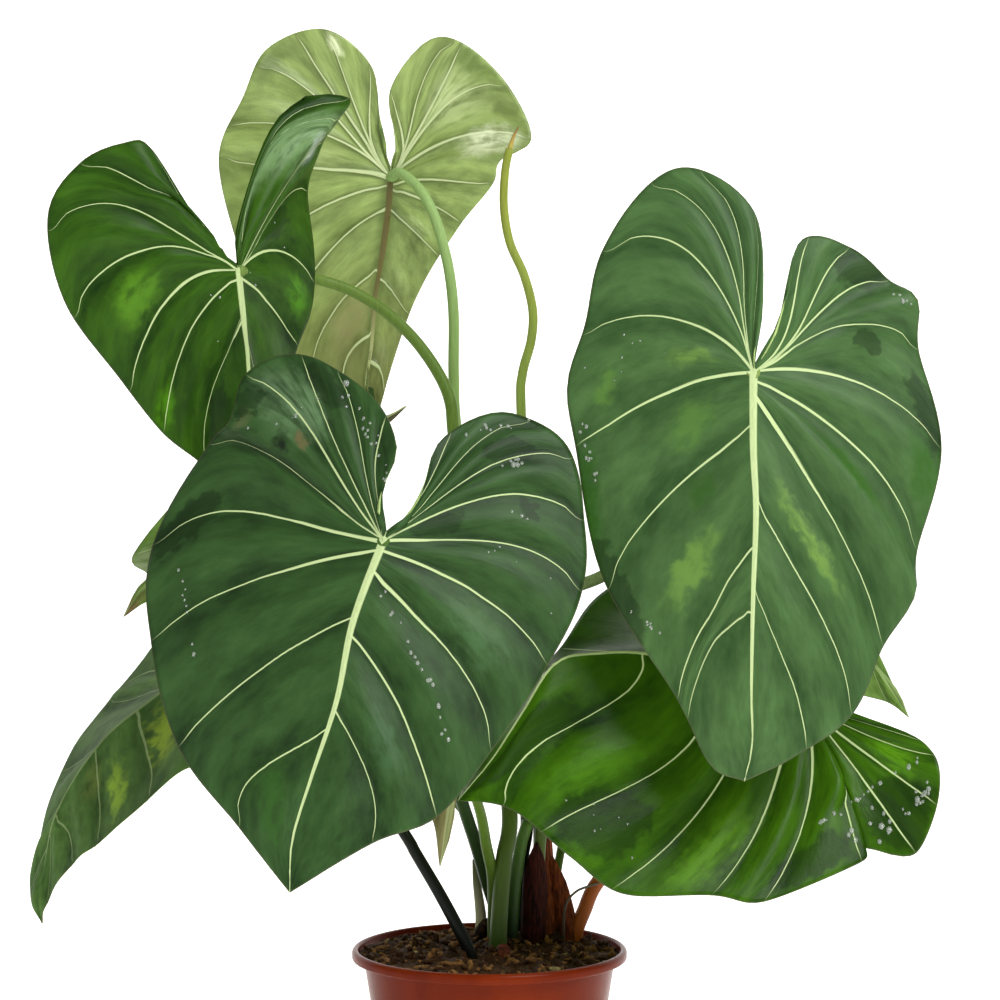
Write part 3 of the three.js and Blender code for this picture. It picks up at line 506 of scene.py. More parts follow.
class GloriosumPot(bpy.types.PropertyGroup):
    """The pot and the soil in it."""

    plastic: colour("Plastic", "The pot's moulded plastic", "712508")
    plastic_shade: colour("Plastic, deep", "The pot's plastic where it is thick", "5c1a05")
    peat: colour("Peat", "The potting mix where it is damp", "34200f")
    bark: colour("Bark", "Bark and fibre in the potting mix", "6a4a28")
    perlite: colour("Perlite", "Perlite in the potting mix", "8a7c50")


class GloriosumStage(bpy.types.PropertyGroup):
    """The floor, the light and the view."""

    floor: colour("Floor", "The paper sweep under and behind the pot", "f4f3f1")
    backlight: bpy.props.FloatProperty(
        name="Backlight", description="How much the paper is lit from behind", default=0.8, min=0
    )
    daylight: bpy.props.FloatProperty(
        name="Daylight", description="Strength of the light from all round", default=0.3, min=0
    )
    key_power: bpy.props.FloatProperty(
        name="Key light", description="Power of the main soft box", default=58, min=0, unit="POWER"
    )
    fill_power: bpy.props.FloatProperty(
        name="Fill light", description="Power of the weaker soft box", default=7, min=0,
        unit="POWER",
    )
    camera_place: bpy.props.FloatVectorProperty(
        name="Camera", description="Where the camera stands, looking level along +Y",
        default=(0.0073, -1.6, 0.457), subtype="TRANSLATION", unit="LENGTH",
    )
    lens: bpy.props.FloatProperty(
        name="Lens", description="Focal length in millimetres", default=83.3, min=1
    )


# ------------------------------------------------------------------ curves and sheets


def unit(vectors):
    """Vectors of length one, also where a row is zero."""
    return vectors / np.maximum(np.linalg.norm(vectors, axis=-1, keepdims=True), 1e-12)


def smoothstep(low, high, value):
    t = np.clip((value - low) / (high - low), 0, 1)
    return t * t * (3 - 2 * t)


class Spline:
    """A smooth curve through places in millimetres. Its knots are 0, 1, 2 and so on."""

    SAMPLES = 1500
    STEP = 1e-3  # the part of the length over which a tangent is measured

    def __init__(self, places):
        points = np.array([place[:3] for place in places], float) * MM
        before, after = 2 * points[0] - points[1], 2 * points[-1] - points[-2]
        self.points = np.vstack([before, points, after])
        self.last = len(points) - 1
        self.sampled = np.linspace(0, self.last, self.SAMPLES)
        steps = np.linalg.norm(np.diff(self.at(self.sampled), axis=0), axis=1)
        self.reach = np.concatenate([[0], np.cumsum(steps)])
        self.length = self.reach[-1]

    def at(self, knot):
        """The points at these knots, whole or not."""
        knot = np.clip(np.asarray(knot, float), 0, self.last)
        whole = np.minimum(knot.astype(int), self.last - 1)
        u = (knot - whole)[..., None]
        a, b, c, d = (self.points[whole + k] for k in range(4))
        bend = 2 * a - 5 * b + 4 * c - d
        twist = 3 * b - 3 * c + d - a
        return 0.5 * (2 * b + (c - a) * u + bend * u**2 + twist * u**3)

    def along(self, part):
        """The points at these parts of the length, from 0 to 1."""
        return self.at(np.interp(np.asarray(part) * self.length, self.reach, self.sampled))

    def tangent(self, part):
        part = np.asarray(part, float)
        after, before = np.minimum(part + self.STEP, 1), np.maximum(part - self.STEP, 0)
        return unit(self.along(after) - self.along(before))


def grid_mesh(points):
    """A new bmesh: a grid bent so that its vertices lie at points[row, column]."""
    rows, columns = points.shape[:2]
    mesh = bmesh.new()
    bmesh.ops.create_grid(mesh, x_segments=columns - 1, y_segments=rows - 1, size=1)
    for vertex, place in zip(mesh.verts, points.reshape(-1, 3)):
        vertex.co = place
    return mesh


def paint(mesh, fields):
    """Writes each array of fields to a float layer of the grid's vertices."""
    for name, values in fields.items():
        layer = mesh.verts.layers.float.new(name)
        for vertex, value in zip(mesh.verts, np.asarray(values).reshape(-1)):
            vertex[layer] = value


def line_mesh(places):
    """A new bmesh: a line of edges through these places."""
    mesh = bmesh.new()
    line = [mesh.verts.new(place) for place in places]
    for pair in zip(line, line[1:]):
        mesh.edges.new(pair)
    return mesh


def add_object(name, mesh, materials=(), smooth=True):
    """Makes an object of a bmesh."""
    data = bpy.data.meshes.new(name)
    mesh.to_mesh(data)
    mesh.free()
    data.polygons.foreach_set("use_smooth", [smooth] * len(data.polygons))
    for material in materials:
        data.materials.append(material)
    made = bpy.data.objects.new(name, data)
    bpy.context.scene.collection.objects.link(made)
    return made


def add_piece(name, mesh, materials, replaces=()):
    """Makes an object that rides on the plant."""
    piece = add_object(name, mesh, materials)
    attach(piece, "root")
    if replaces:
        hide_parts(*replaces)
    return piece


# ------------------------------------------------------------------ leaf blades

BEND = 0.2  # how far a plain line arches towards the stalk, as a part of its length
ARCH_RAMP = 3  # the margin places from the sinus over which the lines come to that arch
FAN_STEP = math.radians(4)  # the least turn between lines from the stalk, half a place apart
FAN_ROWS = 6  # the margin places on each side that say which way a blade faces at its stalk
LANE_LINES = 12  # lines from one rib to the next
SMALL_FINENESS = 0.6  # the part of those lines that a small blade has
CROWDING = 0.75  # how much closer together those lines lie beside the ribs
COLUMNS = 50  # from the midrib to the margin
COLUMN_SPREAD = 1.2  # above 1, the columns lie closer together beside the midrib
LEAST_LANE = 0.22  # the narrowest that two ribs come, in margin places
SEARCH_BEFORE, SEARCH_AFTER = 5, 4  # the margin places round its end that a rib stays in
WIDEST_STEP = 0.5  # how far a rib crosses the blade's lines from one column to the next
SMOOTHED = 7  # the columns over which a rib's way is evened out
NEAR_START = 0.08  # the part of its way over which a rib comes to its own place
NEAR_END = 0.9  # the part of its way from which a rib turns to its place on the margin
RIM_SWELL = 0.3  # how much of the swelling is left at the margin
RIB_TAPER, MIDRIB_TAPER = 0.6, 0.85  # how much narrower ribs and midrib are at their ends
RIB_FADE = 0.75  # how much lower they are there
MIDRIB_FLANK = 1.2  # how far the midrib's flanks slope out, in half widths
UPPER_RISE = 0.18  # how far ribs rise in the upper face, as a part of their depth below
THIN_RIM, RIM_REACH = 0.45, 2  # the thickness left at the rim, and the mm that thin down to it


class Margin:
    """One side of a blade: its edge from the sinus to the tip, and the lines that reach it."""

    def __init__(self, name, side, midrib):
        leaf = LEAVES[name]
        rows = leaf[side]
        self.midrib = midrib
        self.way = 1 if side == "right" else -1
        self.curve = Spline([leaf["sinus"], *rows, leaf["midrib"][-1]])
        self.last = self.curve.last
        plain = [(i + 1, row[3]) for i, row in enumerate(rows) if len(row) > 3]
        known = {0: 0, **dict(plain), self.last: 1}
        self.springs = np.interp(range(self.last + 1), [*known], [*known.values()])
        self.fan = int(np.count_nonzero(self.springs == 0)) - 1
        self.open_fan(leaf)
        self.parts = np.linspace(0, 1, COLUMNS + 1) ** COLUMN_SPREAD
        veins = [(0, 0), *RIBS.get(name, {}).get(side, plain), (self.last, 1)]
        self.routes = np.array([self.route(*vein) for vein in veins])
        order = LEAST_LANE * np.arange(len(veins))[:, None]
        after = np.maximum.accumulate(self.routes - order) + order
        before = np.minimum.accumulate((self.routes - order)[::-1])[::-1] + order
        self.routes = (after + before) / 2

    def spring_at(self, knot):
        return np.interp(knot, range(self.last + 1), self.springs)

    def knot_at(self, spring):
        return np.interp(spring, self.springs[self.fan :], range(self.fan, self.last + 1))

    def arch(self, knot):
        """From each line's start to the point that it bends towards."""
        spring = self.spring_at(knot)
        chord = self.curve.at(knot) - self.midrib.along(spring)
        reach = np.linalg.norm(chord, axis=-1, keepdims=True)
        outward = chord / np.maximum(reach, 1e-12)
        tangent = self.midrib.tangent(spring)
        dot = np.sum(tangent * outward, axis=-1, keepdims=True)
        ramp = smoothstep(0, ARCH_RAMP, knot)[..., None]
        return 0.5 * chord + (outward * dot - tangent) * (BEND * ramp * reach)

    def open_fan(self, leaf):
        """Turns each line from the stalk so that it leaves a little after the one before."""
        hub = self.midrib.at(0)
        on = unit(self.midrib.at(1) - hub)
        up = np.zeros(3)
        for side, way in (("right", 1), ("left", -1)):
            for row in leaf[side][:FAN_ROWS]:
                up += way * np.cross(on, unit(np.array(row[:3]) * MM - hub))
        up = unit(up)
        across = np.cross(up, on) * self.way
        offsets = self.arch(self.halves())
        raw = np.arctan2(offsets @ across, offsets @ on)
        raw = np.where(raw < -math.pi / 2, raw + 2 * math.pi, raw)
        allowed = raw.copy()
        for i in range(1, len(raw)):
            allowed[i] = min(raw[i], allowed[i - 1] - FAN_STEP)
        self.axis = up * self.way
        self.turns = allowed - raw

    def halves(self):
        """The knots, half a place apart, whose lines start at the stalk."""
        return np.arange(0, self.fan + 0.25, 0.5)

    def lines(self, knot, parts):
        """The points at these parts of the lines that reach the margin at these knots."""
        start = self.midrib.along(self.spring_at(knot))[..., None, :]
        end = self.curve.at(knot)[..., None, :]
        offset = self.arch(knot)
        turned_knots = [*self.halves(), self.fan + 1]
        angle = np.interp(knot, turned_knots, [*self.turns, 0])[..., None]
        lift = self.axis * (offset @ self.axis)[..., None] * (1 - np.cos(angle))
        turned = offset * np.cos(angle) + np.cross(self.axis, offset) * np.sin(angle) + lift
        s = np.asarray(parts)[..., None]
        return start + 2 * turned[..., None, :] * s * (1 - s) + (end - start) * s**2

    def route(self, knot, spring, *inner):
        """Along which of the blade's lines a rib lies at each part of its way."""
        begins = self.knot_at(spring) if spring > 0 else knot
        if not inner:
            return begins + (knot - begins) * self.parts
        start, end = self.midrib.along(spring), self.curve.at(knot)
        near, far = np.array(inner, float) * MM
        first = (18 * near - 9 * far - 5 * start + 2 * end) / 6
        second = (18 * far - 9 * near + 2 * start - 5 * end) / 6
        q = np.linspace(0, 1, 80)[:, None]
        bent = 3 * q * (1 - q) * (first * (1 - q) + second * q)
        curve = start * (1 - q) ** 3 + bent + end * q**3
        low, high = max(knot - SEARCH_BEFORE, 0), min(knot + SEARCH_AFTER, self.last)
        knots = np.linspace(low, high, 240)
        sheet = self.lines(knots, self.parts)
        apart = np.linalg.norm(sheet[:, :, None] - curve, axis=-1).min(axis=-1)
        found = np.full(len(self.parts), float(knot))
        for i in range(len(found) - 2, -1, -1):
            close = np.abs(knots - found[i + 1]) < WIDEST_STEP
            found[i] = knots[np.where(close, apart[:, i], np.inf).argmin()]
        settled = np.searchsorted(self.parts, NEAR_START)
        found[:settled] = found[settled]
        padded = np.pad(found, SMOOTHED // 2, "edge")
        found = np.convolve(padded, np.ones(SMOOTHED) / SMOOTHED, "valid")
        if spring > 0:
            found = begins + (found - begins) * smoothstep(0, NEAR_START, self.parts)
        return knot + (found - knot) * smoothstep(1, NEAR_END, self.parts)

    def lane_at(self, knot):
        """How many ribs a row that starts at each knot has passed, in whole ribs and parts."""
        return np.interp(knot, self.routes[:, 0], range(len(self.routes)))

    def rows(self, lane):
        """The points of the rows in these lanes, from the midrib to the margin."""
        places = np.arange(len(self.routes))
        return np.concatenate([
            self.lines(np.interp(lane, places, crossing), self.parts[i : i + 1])
            for i, crossing in enumerate(self.routes.T)
        ], axis=1)


def lane_positions(lanes, lines):
    """Positions from rib to rib, closer together beside the ribs."""
    even = np.linspace(0, 1, lines + 1)[:-1]
    crowded = even - CROWDING * np.sin(2 * math.pi * even) / (2 * math.pi)
    return (np.arange(lanes)[:, None] + crowded).reshape(-1)


def distance_to_curve(points, curve, samples=240):
    """How far points are from a spline, and at which part of it they are nearest."""
    parts = np.linspace(0, 1, samples)
    places = curve.along(parts)
    flat = points.reshape(-1, 3)
    nearest = np.empty(len(flat))
    at = np.empty(len(flat))
    for start in range(0, len(flat), 2000):
        block = flat[start : start + 2000]
        apart = np.linalg.norm(block[:, None] - places[None], axis=2)
        nearest[start : start + 2000] = apart.min(axis=1)
        at[start : start + 2000] = parts[apart.argmin(axis=1)]
    return nearest.reshape(points.shape[:-1]), at.reshape(points.shape[:-1])


def blade_grid(name, sizes, fineness):
    """A blade's rows from midrib to margin, once round it, and the measures of each point."""
    midrib = Spline(LEAVES[name]["midrib"])
    sides = {side: Margin(name, side, midrib) for side in ("left", "right")}
    parts = sides["left"].parts
    lane_lines = max(5, round(LANE_LINES * fineness))
    starts, springs = {}, []
    for side, margin in sides.items():
        lanes = lane_positions(len(margin.routes) - 1, lane_lines)
        starts[side] = np.interp(lanes, range(len(margin.routes)), margin.routes[:, 0])
        springs += [margin.spring_at(starts[side]), margin.spring_at(margin.routes[:, 0])]
    springs = np.concatenate(springs)
    springs = np.unique(np.round(springs[(springs > 1e-3) & (springs < 0.998)], 4))
    rows = []
    fields = {key: [] for key in ("rib", "gap", "part", "rise", "way")}
    for side, margin in sides.items():
        fan = starts[side][(starts[side] > 0) & (starts[side] <= margin.fan)]
        lane = margin.lane_at(np.concatenate([fan, margin.knot_at(springs)]))
        if side == "left":
            lane = np.concatenate([[0], lane, [len(margin.routes) - 1]])
        lower = np.minimum(np.floor(lane + 1e-4), len(margin.routes) - 2)
        between = (lane - lower)[:, None]
        gap = np.linalg.norm(margin.rows(lower) - margin.rows(lower + 1), axis=2)
        swell = np.minimum(sizes.swell * gap, sizes.swell_limit) * np.sin(math.pi * between) ** 2
        swell = swell * (np.sin(math.pi * parts) + RIM_SWELL * parts**3)
        flat = np.ones_like(gap)
        order = slice(None) if side == "left" else slice(None, None, -1)
        rows.append(margin.rows(lane)[order])
        found = (lane[:, None] * flat, gap / MM, parts * flat, swell, margin.way * flat)
        for values, kept in zip(found, fields.values()):
            kept.append(values[order])
    points = np.concatenate([*rows, rows[0][:1]])
    fields = {key: np.concatenate([*found, found[0][:1]]) for key, found in fields.items()}
    apart, at = distance_to_curve(points, midrib)
    fields["mid"] = apart / (sizes.midrib_half_width * (1 - MIDRIB_TAPER * at))
    fields["down"] = at
    reach = np.linalg.norm(points[:, -1:] - points[:, :1], axis=2)
    fields["rim"] = (1 - fields["part"]) * reach / MM
    rib_width = sizes.rib_half_width / MM * (1 - RIB_TAPER * fields["part"])
    lane = np.abs(fields["rib"] - np.round(fields["rib"]))
    ridge = np.exp(-((lane * fields["gap"] / (2 * rib_width)) ** 2))
    ridge *= 1 - RIB_FADE * fields["part"]
    crest = np.exp(-((fields["mid"] / MIDRIB_FLANK) ** 2)) * (1 - RIB_FADE * at)
    fields["under"] = np.maximum(sizes.rib_depth * ridge, sizes.midrib_depth * crest)
    return points, fields


def blade_mesh(name, sizes, fineness):
    """A blade with swelling between its ribs, its ribs raised and its rim closed."""
    points, fields = blade_grid(name, sizes, fineness)
    mesh = grid_mesh(points)
    paint(mesh, fields)
    bmesh.ops.remove_doubles(mesh, verts=mesh.verts, dist=1e-7)
    rise, under, rim = (mesh.verts.layers.float[key] for key in ("rise", "under", "rim"))
    mesh.normal_update()
    for vertex in mesh.verts:
        vertex.co += vertex.normal * vertex[rise]
    mesh.normal_update()
    lower = bmesh.ops.duplicate(mesh, geom=[*mesh.verts, *mesh.edges, *mesh.faces])["geom"]
    sunk = {item for item in lower if isinstance(item, bmesh.types.BMVert)}
    faces_below = [item for item in lower if isinstance(item, bmesh.types.BMFace)]
    for vertex in mesh.verts:
        edge = THIN_RIM + (1 - THIN_RIM) * min(vertex[rim] / RIM_REACH, 1)
        half = sizes.half_thickness * edge
        if vertex in sunk:
            vertex.co -= vertex.normal * (half + vertex[under])
        else:
            vertex.co += vertex.normal * (half + UPPER_RISE * vertex[under])
    bmesh.ops.reverse_faces(mesh, faces=faces_below)
    for face in faces_below:
        face.material_index = 1
    bmesh.ops.bridge_loops(mesh, edges=[edge for edge in mesh.edges if edge.is_boundary])
    return mesh


# ------------------------------------------------------------------ shader nodes

ATTRIBUTE, MATH, MAP_RANGE = "ShaderNodeAttribute", "ShaderNodeMath", "ShaderNodeMapRange"
NOISE, MIX, VECTOR_MATH = "ShaderNodeTexNoise", "ShaderNodeMix", "ShaderNodeVectorMath"
COORDINATES, MAPPING, BUMP = "ShaderNodeTexCoord", "ShaderNodeMapping", "ShaderNodeBump"
COMBINE = "ShaderNodeCombineXYZ"
TIMES, TIMES_PLUS = {"operation": "MULTIPLY"}, {"operation": "MULTIPLY_ADD"}
HIGHER = {"operation": "MAXIMUM"}
SMOOTH = {"interpolation_type": "SMOOTHSTEP"}
RGB_MIX = {"data_type": "RGBA"}
RGB_TIMES = {**RGB_MIX, "blend_type": "MULTIPLY"}
A, B = 6, 7  # the colour sockets of a Mix node


def connect(tree, target, inputs):
    """Fills a node's inputs with values and links.

    The inputs are named, or listed in their order: for MAP_RANGE that is the value, the range
    it comes from and the range it goes to. A node stands for its first output in use.
    """
    pairs = inputs.items() if isinstance(inputs, dict) else enumerate(inputs)
    for key, value in pairs:
        if isinstance(value, bpy.types.Node):
            value = next(output for output in value.outputs if output.enabled)
        if isinstance(value, bpy.types.NodeSocket):
            tree.links.new(value, target.inputs[key])
        else:
            target.inputs[key].default_value = value


def node(tree, kind, settings=None, inputs=()):
    """Adds a node with its settings, and with values or links in its inputs."""
    made = tree.nodes.new(kind)
    for name, value in (settings or {}).items():
        setattr(made, name, value)
    connect(tree, made, inputs)
    return made


def new_material(name):
    """A material with only a Principled shader, its node tree and that shader."""
    material = bpy.data.materials.new(name)
    material.use_nodes = True
    tree = material.node_tree
    return material, tree, tree.nodes["Principled BSDF"]


def finish_shader(tree, shader, base, gloss, height, relief):
    """Gives the shader its colour, its (roughness, shine) and a relief (strength, depth in mm)."""
    strength, depth = relief
    bump = node(tree, BUMP, None, {"Height": height, "Strength": strength, "Distance": depth * MM})
    rough, shine = gloss
    connect(tree, shader, {
        "Base Color": base, "Roughness": rough, "Specular IOR Level": shine, "Normal": bump,
    })


def lay_over(tree, base, layers):
    """Lays colours over one another, each as (mask, colour)."""
    for mask, tint in layers:
        base = node(tree, MIX, RGB_MIX, {0: mask, A: base, B: tint})
    return base


# What each blade looks like: the green of its upper face, how rough and how shiny that is, how
# much its veins show, and the green of its lower face.
VELVET = {
    "deep": "142a0d", "light": "37582a", "rough": 0.42, "shine": 0.2, "veined": 0.95,
    "under": "8fae62", "under_light": "b4cc80",
}
GLOSSY = {**VELVET, "deep": "173403", "light": "3d680a", "rough": 0.3, "shine": 0.14}
PALE = {**VELVET, "under": "5c6e34", "under_light": "a0b669"}
YOUNG = {
    **VELVET, "deep": "3f5c20", "light": "6f9040", "veined": 0.3,
    "under": "93a860", "under_light": "b4c47c",
}
LOOKS = {
    "leaf_front": VELVET,
    "leaf_right": {**VELVET, "deep": "24401c", "light": "4a6b3a"},
    "leaf_low_right": GLOSSY,
    "leaf_high_left": {
        **GLOSSY, "deep": "112b05", "light": "365c12", "rough": 0.36, "veined": 0.9,
    },
    "leaf_top": PALE,
    "leaf_low_left": {
        **VELVET, "deep": "28401c", "light": "587a3c", "rough": 0.6, "shine": 0.05, "veined": 0.3,
    },
    "leaf_small_middle": {**YOUNG, "deep": "575430", "light": "7d794c", "under": "6f6b43"},
    "leaf_small_right": YOUNG,
    "leaf_small_left": {**YOUNG, "under_light": "a7b38c"},
}

# Marks on the blades, as (side, rib, part, ribs across, parts long, colour, strength). Side 1 is
# the blade's right. The rib is counted from the sinus and the part from the midrib outward.
MARKS = {
    "leaf_front": [
        # 6a8860 is painted sheen on the upper left lobe, where it tilts up to the light
        (-1, 3.7, 0.72, 1.1, 0.3, "6a8860", 0.75), (-1, 4.28, 0.56, 0.2, 0.05, "665a3a", 0.8),
        (-1, 4.6, 0.67, 0.3, 0.07, "0a1208", 0.9), (-1, 4.5, 0.93, 0.2, 0.07, "58603c", 0.6),
        (-1, 9.3, 0.6, 0.5, 0.3, "2f5a16", 0.5), (1, 6.5, 0.6, 0.4, 0.3, "4a6a44", 0.6),
        (1, 8.5, 0.5, 0.35, 0.3, "446442", 0.5),
    ],
    "leaf_right": [
        (-1, 5.53, 0.33, 0.24, 0.16, "66883a", 0.75), (-1, 5.73, 0.79, 0.25, 0.1, "547a30", 0.6),
        (-1, 6.48, 0.31, 0.34, 0.18, "4f7430", 0.7), (-1, 7.2, 0.31, 0.2, 0.12, "2c5216", 0.7),
        (-1, 7.6, 0.5, 0.2, 0.32, "64883a", 0.75), (1, 7.55, 0.4, 0.2, 0.34, "6c9040", 0.8),
        (1, 6.3, 0.5, 0.26, 0.26, "2f5a16", 0.8), (1, 5.4, 0.92, 0.5, 0.14, "2a5612", 0.8),
        (-1, 6.45, 0.97, 0.6, 0.12, "25500f", 0.8),
    ],
    "leaf_low_right": [
        (1, 9.45, 0.62, 0.35, 0.3, "4a7c14", 0.5), (1, 7.4, 0.75, 0.4, 0.3, "5a8c1a", 0.7),
        (1, 2.5, 0.65, 0.8, 0.25, "5a9412", 0.7), (-1, 5.5, 0.75, 0.45, 0.3, "38561c", 0.8),
    ],
    "leaf_high_left": [
        (-1, 4.6, 0.62, 0.4, 0.24, "55861c", 0.7), (-1, 5.95, 0.88, 0.35, 0.2, "4c8410", 0.7),
        (1, 5.5, 0.75, 0.4, 0.22, "4f8a16", 0.7), (-1, 6.5, 0.7, 0.25, 0.25, "132c08", 0.6),
        # 7c9c6a is painted sheen and b4beb8 a painted highlight on the right lobe, where it
        # catches light at a grazing angle
        (1, 2.3, 0.74, 1.3, 0.36, "7c9c6a", 0.8), (1, 2.9, 0.8, 0.5, 0.14, "b4beb8", 0.8),
    ],
    "leaf_top": [
        # bccb92 is painted light and dde6bd a painted highlight on the side -1 lobe; 58702e and
        # 607036 are painted shade in the folds at its margin
        (-1, 3.6, 0.6, 1.4, 0.35, "bccb92", 0.7), (-1, 5.15, 0.74, 0.42, 0.28, "dde6bd", 0.95),
        (-1, 3.4, 0.93, 0.7, 0.13, "58702e", 0.85), (-1, 4.5, 0.9, 0.35, 0.12, "607036", 0.8),
        # dce6b8 is a painted highlight
        (1, 1.98, 0.9, 0.35, 0.08, "dce6b8", 0.85), (1, 3.7, 0.93, 0.9, 0.1, "5c7038", 0.8),
        (1, 0.6, 0.7, 0.35, 0.5, "8aa05a", 1), (1, 5.6, 0.5, 0.5, 0.3, "a9b878", 0.6),
        (1, 9.5, 0.4, 0.7, 0.4, "8a8458", 0.7),
    ],
    "leaf_low_left": [
        (1, 4.6, 0.6, 0.24, 0.45, "86a834", 0.85), (1, 3.86, 0.4, 0.16, 0.4, "88a030", 0.8),
        (1, 5.1, 0.3, 0.3, 0.25, "6c7c3c", 0.6),
        (-1, 5.2, 0.5, 0.3, 0.5, "5a7a3c", 0.6),
    ],
    "leaf_small_left": [
        (-1, 5.4, 0.6, 1.2, 1.2, "6e5638", 1), (1, 4.9, 0.6, 0.8, 1.2, "6e5638", 1),
        (-1, 3.6, 0.8, 0.9, 0.5, "93a07a", 0.9),
    ],
}
# Where a film of water darkens the blades, as (side, rib, part, ribs across, parts long).
WET = {
    "leaf_front": [
        (1, 4.4, 0.25, 0.5, 0.15), (-1, 6.02, 0.88, 0.32, 0.13), (1, 4.25, 0.7, 0.25, 0.06),
        (1, 2.7, 0.79, 0.5, 0.1), (-1, 4.28, 0.92, 0.2, 0.1), (-1, 2.6, 0.85, 0.6, 0.16),
    ],
    "leaf_right": [
        (1, 4.35, 0.67, 0.25, 0.1), (1, 4.8, 0.95, 0.4, 0.12), (-1, 7.1, 0.97, 0.5, 0.1),
        (1, 2.6, 0.9, 0.7, 0.14),
    ],
    "leaf_low_right": [
        (1, 8.75, 0.8, 0.6, 0.2), (1, 3.6, 0.8, 0.9, 0.25), (1, 5.6, 0.85, 0.6, 0.14),
        (1, 10.4, 0.5, 0.6, 0.3),
    ],
    "leaf_high_left": [(1, 4.4, 0.5, 0.4, 0.2), (-1, 7.4, 0.6, 0.4, 0.3)],
}
RAGGED = Vector((0.5, 0.16, 0))  # how far a mark's edge wanders, in ribs and parts
SIDE_APART = 4  # keeps a mark to its own side of the midrib
MARK_EDGE, WET_EDGE = 0.8, 0.3  # how soft the edges of marks and of wet films are
FILM = 0.55  # how strongly a film of water darkens the leaf
STREAKS = {"rib": 5, "part": 4.5, "way": 30}  # streaks across a rib's lane, along it, by side
LEAF_IOR = 1.42


def vein_fields(tree, sizes):
    """The shader's measures of a blade: its veins, the painted shadow beside them, the painted
    light and shade of the swelling between ribs, and its streaks.
    """
    names = ("rib", "gap", "mid", "part", "rim", "down", "way")
    found = {n: node(tree, ATTRIBUTE, {"attribute_name": n}).outputs["Fac"] for n in names}
    rib, gap, mid, part, *_ = found.values()
    lane = node(tree, MATH, {"operation": "PINGPONG"}, (rib, 0.5))
    beside = node(tree, MATH, TIMES, (lane, gap))
    start = sizes.rib_half_width / MM
    width = node(tree, MAP_RANGE, None, (part, 0, 1, start, 0.4 * start))
    ratio = node(tree, MATH, {"operation": "DIVIDE"}, (beside, width))
    shown = node(tree, MAP_RANGE, SMOOTH, (part, 0.9, 1, 1, 0.1))
    rib_vein = node(tree, MAP_RANGE, SMOOTH, (ratio, 0.6, 1.3, shown, 0))
    midrib = node(tree, MAP_RANGE, SMOOTH, (mid, 0.75, 1.2, 1, 0))
    nearest = node(tree, MATH, {"operation": "MINIMUM"}, (ratio, mid))
    spun = node(tree, COMBINE, None, [
        node(tree, MATH, TIMES, (found[name], scale)) for name, scale in STREAKS.items()
    ])
    return {
        **found, "rib_vein": rib_vein, "midrib": midrib,
        "vein": node(tree, MATH, HIGHER, (rib_vein, midrib)),
        # painted shadow beside the ribs and the midrib
        "painted_rib_shadow": node(tree, MAP_RANGE, SMOOTH, (nearest, 1, 4.5, 1, 0)),
        # painted light in the middle of each lane and painted shade beside its ribs
        "painted_swell_shade": node(tree, MAP_RANGE, SMOOTH, (lane, 0, 0.42)),
        "streaks": node(
            tree, NOISE, None, {"Vector": spun, "Scale": 1, "Detail": 4, "Roughness": 0.6}
        ),
    }


def leaf_tone(tree, fields, place):
    """Light and dark over a blade: fine streaks, soft clouds, and painted light on the swelling
    between ribs with painted shade beside them.
    """
    clouds = node(tree, NOISE, None, {"Vector": place, "Scale": 1 / (45 * MM), "Detail": 3})
    tone = node(tree, MATH, TIMES_PLUS, (clouds, 0.45, fields["streaks"]))
    # painted light and shade of the swelling between ribs, laid into the tone
    tone = node(tree, MATH, TIMES_PLUS, (fields["painted_swell_shade"], 0.24, tone))
    return node(tree, MAP_RANGE, None, (tone, 0.52, 1.18))


def blade_places(tree, fields, place):
    """Places on the blade as (rib, part, side), wandering a little."""
    plain = node(tree, COMBINE, None, [fields[name] for name in ("rib", "part", "way")])
    wander = node(tree, NOISE, None, {"Vector": place, "Scale": 1 / (9 * MM), "Detail": 4})
    return node(tree, VECTOR_MATH, TIMES_PLUS, (wander.outputs["Color"], RAGGED, plain))


def mark_mask(tree, places, mark, strength, soft):
    """A mask for one mark, at its strength inside and 0 outside, with an edge this soft."""
    side, rib, part, across, along = mark
    scale = Vector((1 / across, 1 / along, SIDE_APART))
    middle = Vector((rib, part, side)) + RAGGED / 2
    away = node(tree, VECTOR_MATH, TIMES_PLUS, (places, scale, -scale * middle))
    away = node(tree, VECTOR_MATH, {"operation": "LENGTH"}, (away,))
    return node(tree, MAP_RANGE, SMOOTH, (away, 1 - soft, 1, strength, 0))


def add_marks(tree, base, marks, places, streaks):
    """Lays marks over a colour, broken into streaks."""
    broken = node(tree, MAP_RANGE, SMOOTH, (streaks, 0.35, 0.55, 0.3, 1))
    layers = []
    for *mark, code, strength in marks:
        mask = mark_mask(tree, places, mark, strength, MARK_EDGE)
        layers.append((node(tree, MATH, TIMES, (mask, broken)), linear(code)))
    return lay_over(tree, base, layers)


def wetness(tree, pools, places):
    """Where a film of water lies: the strongest of the pools' masks."""
    wet, *others = (mark_mask(tree, places, pool, 1, WET_EDGE) for pool in pools)
    for mask in others:
        wet = node(tree, MATH, HIGHER, (wet, mask))
    return wet


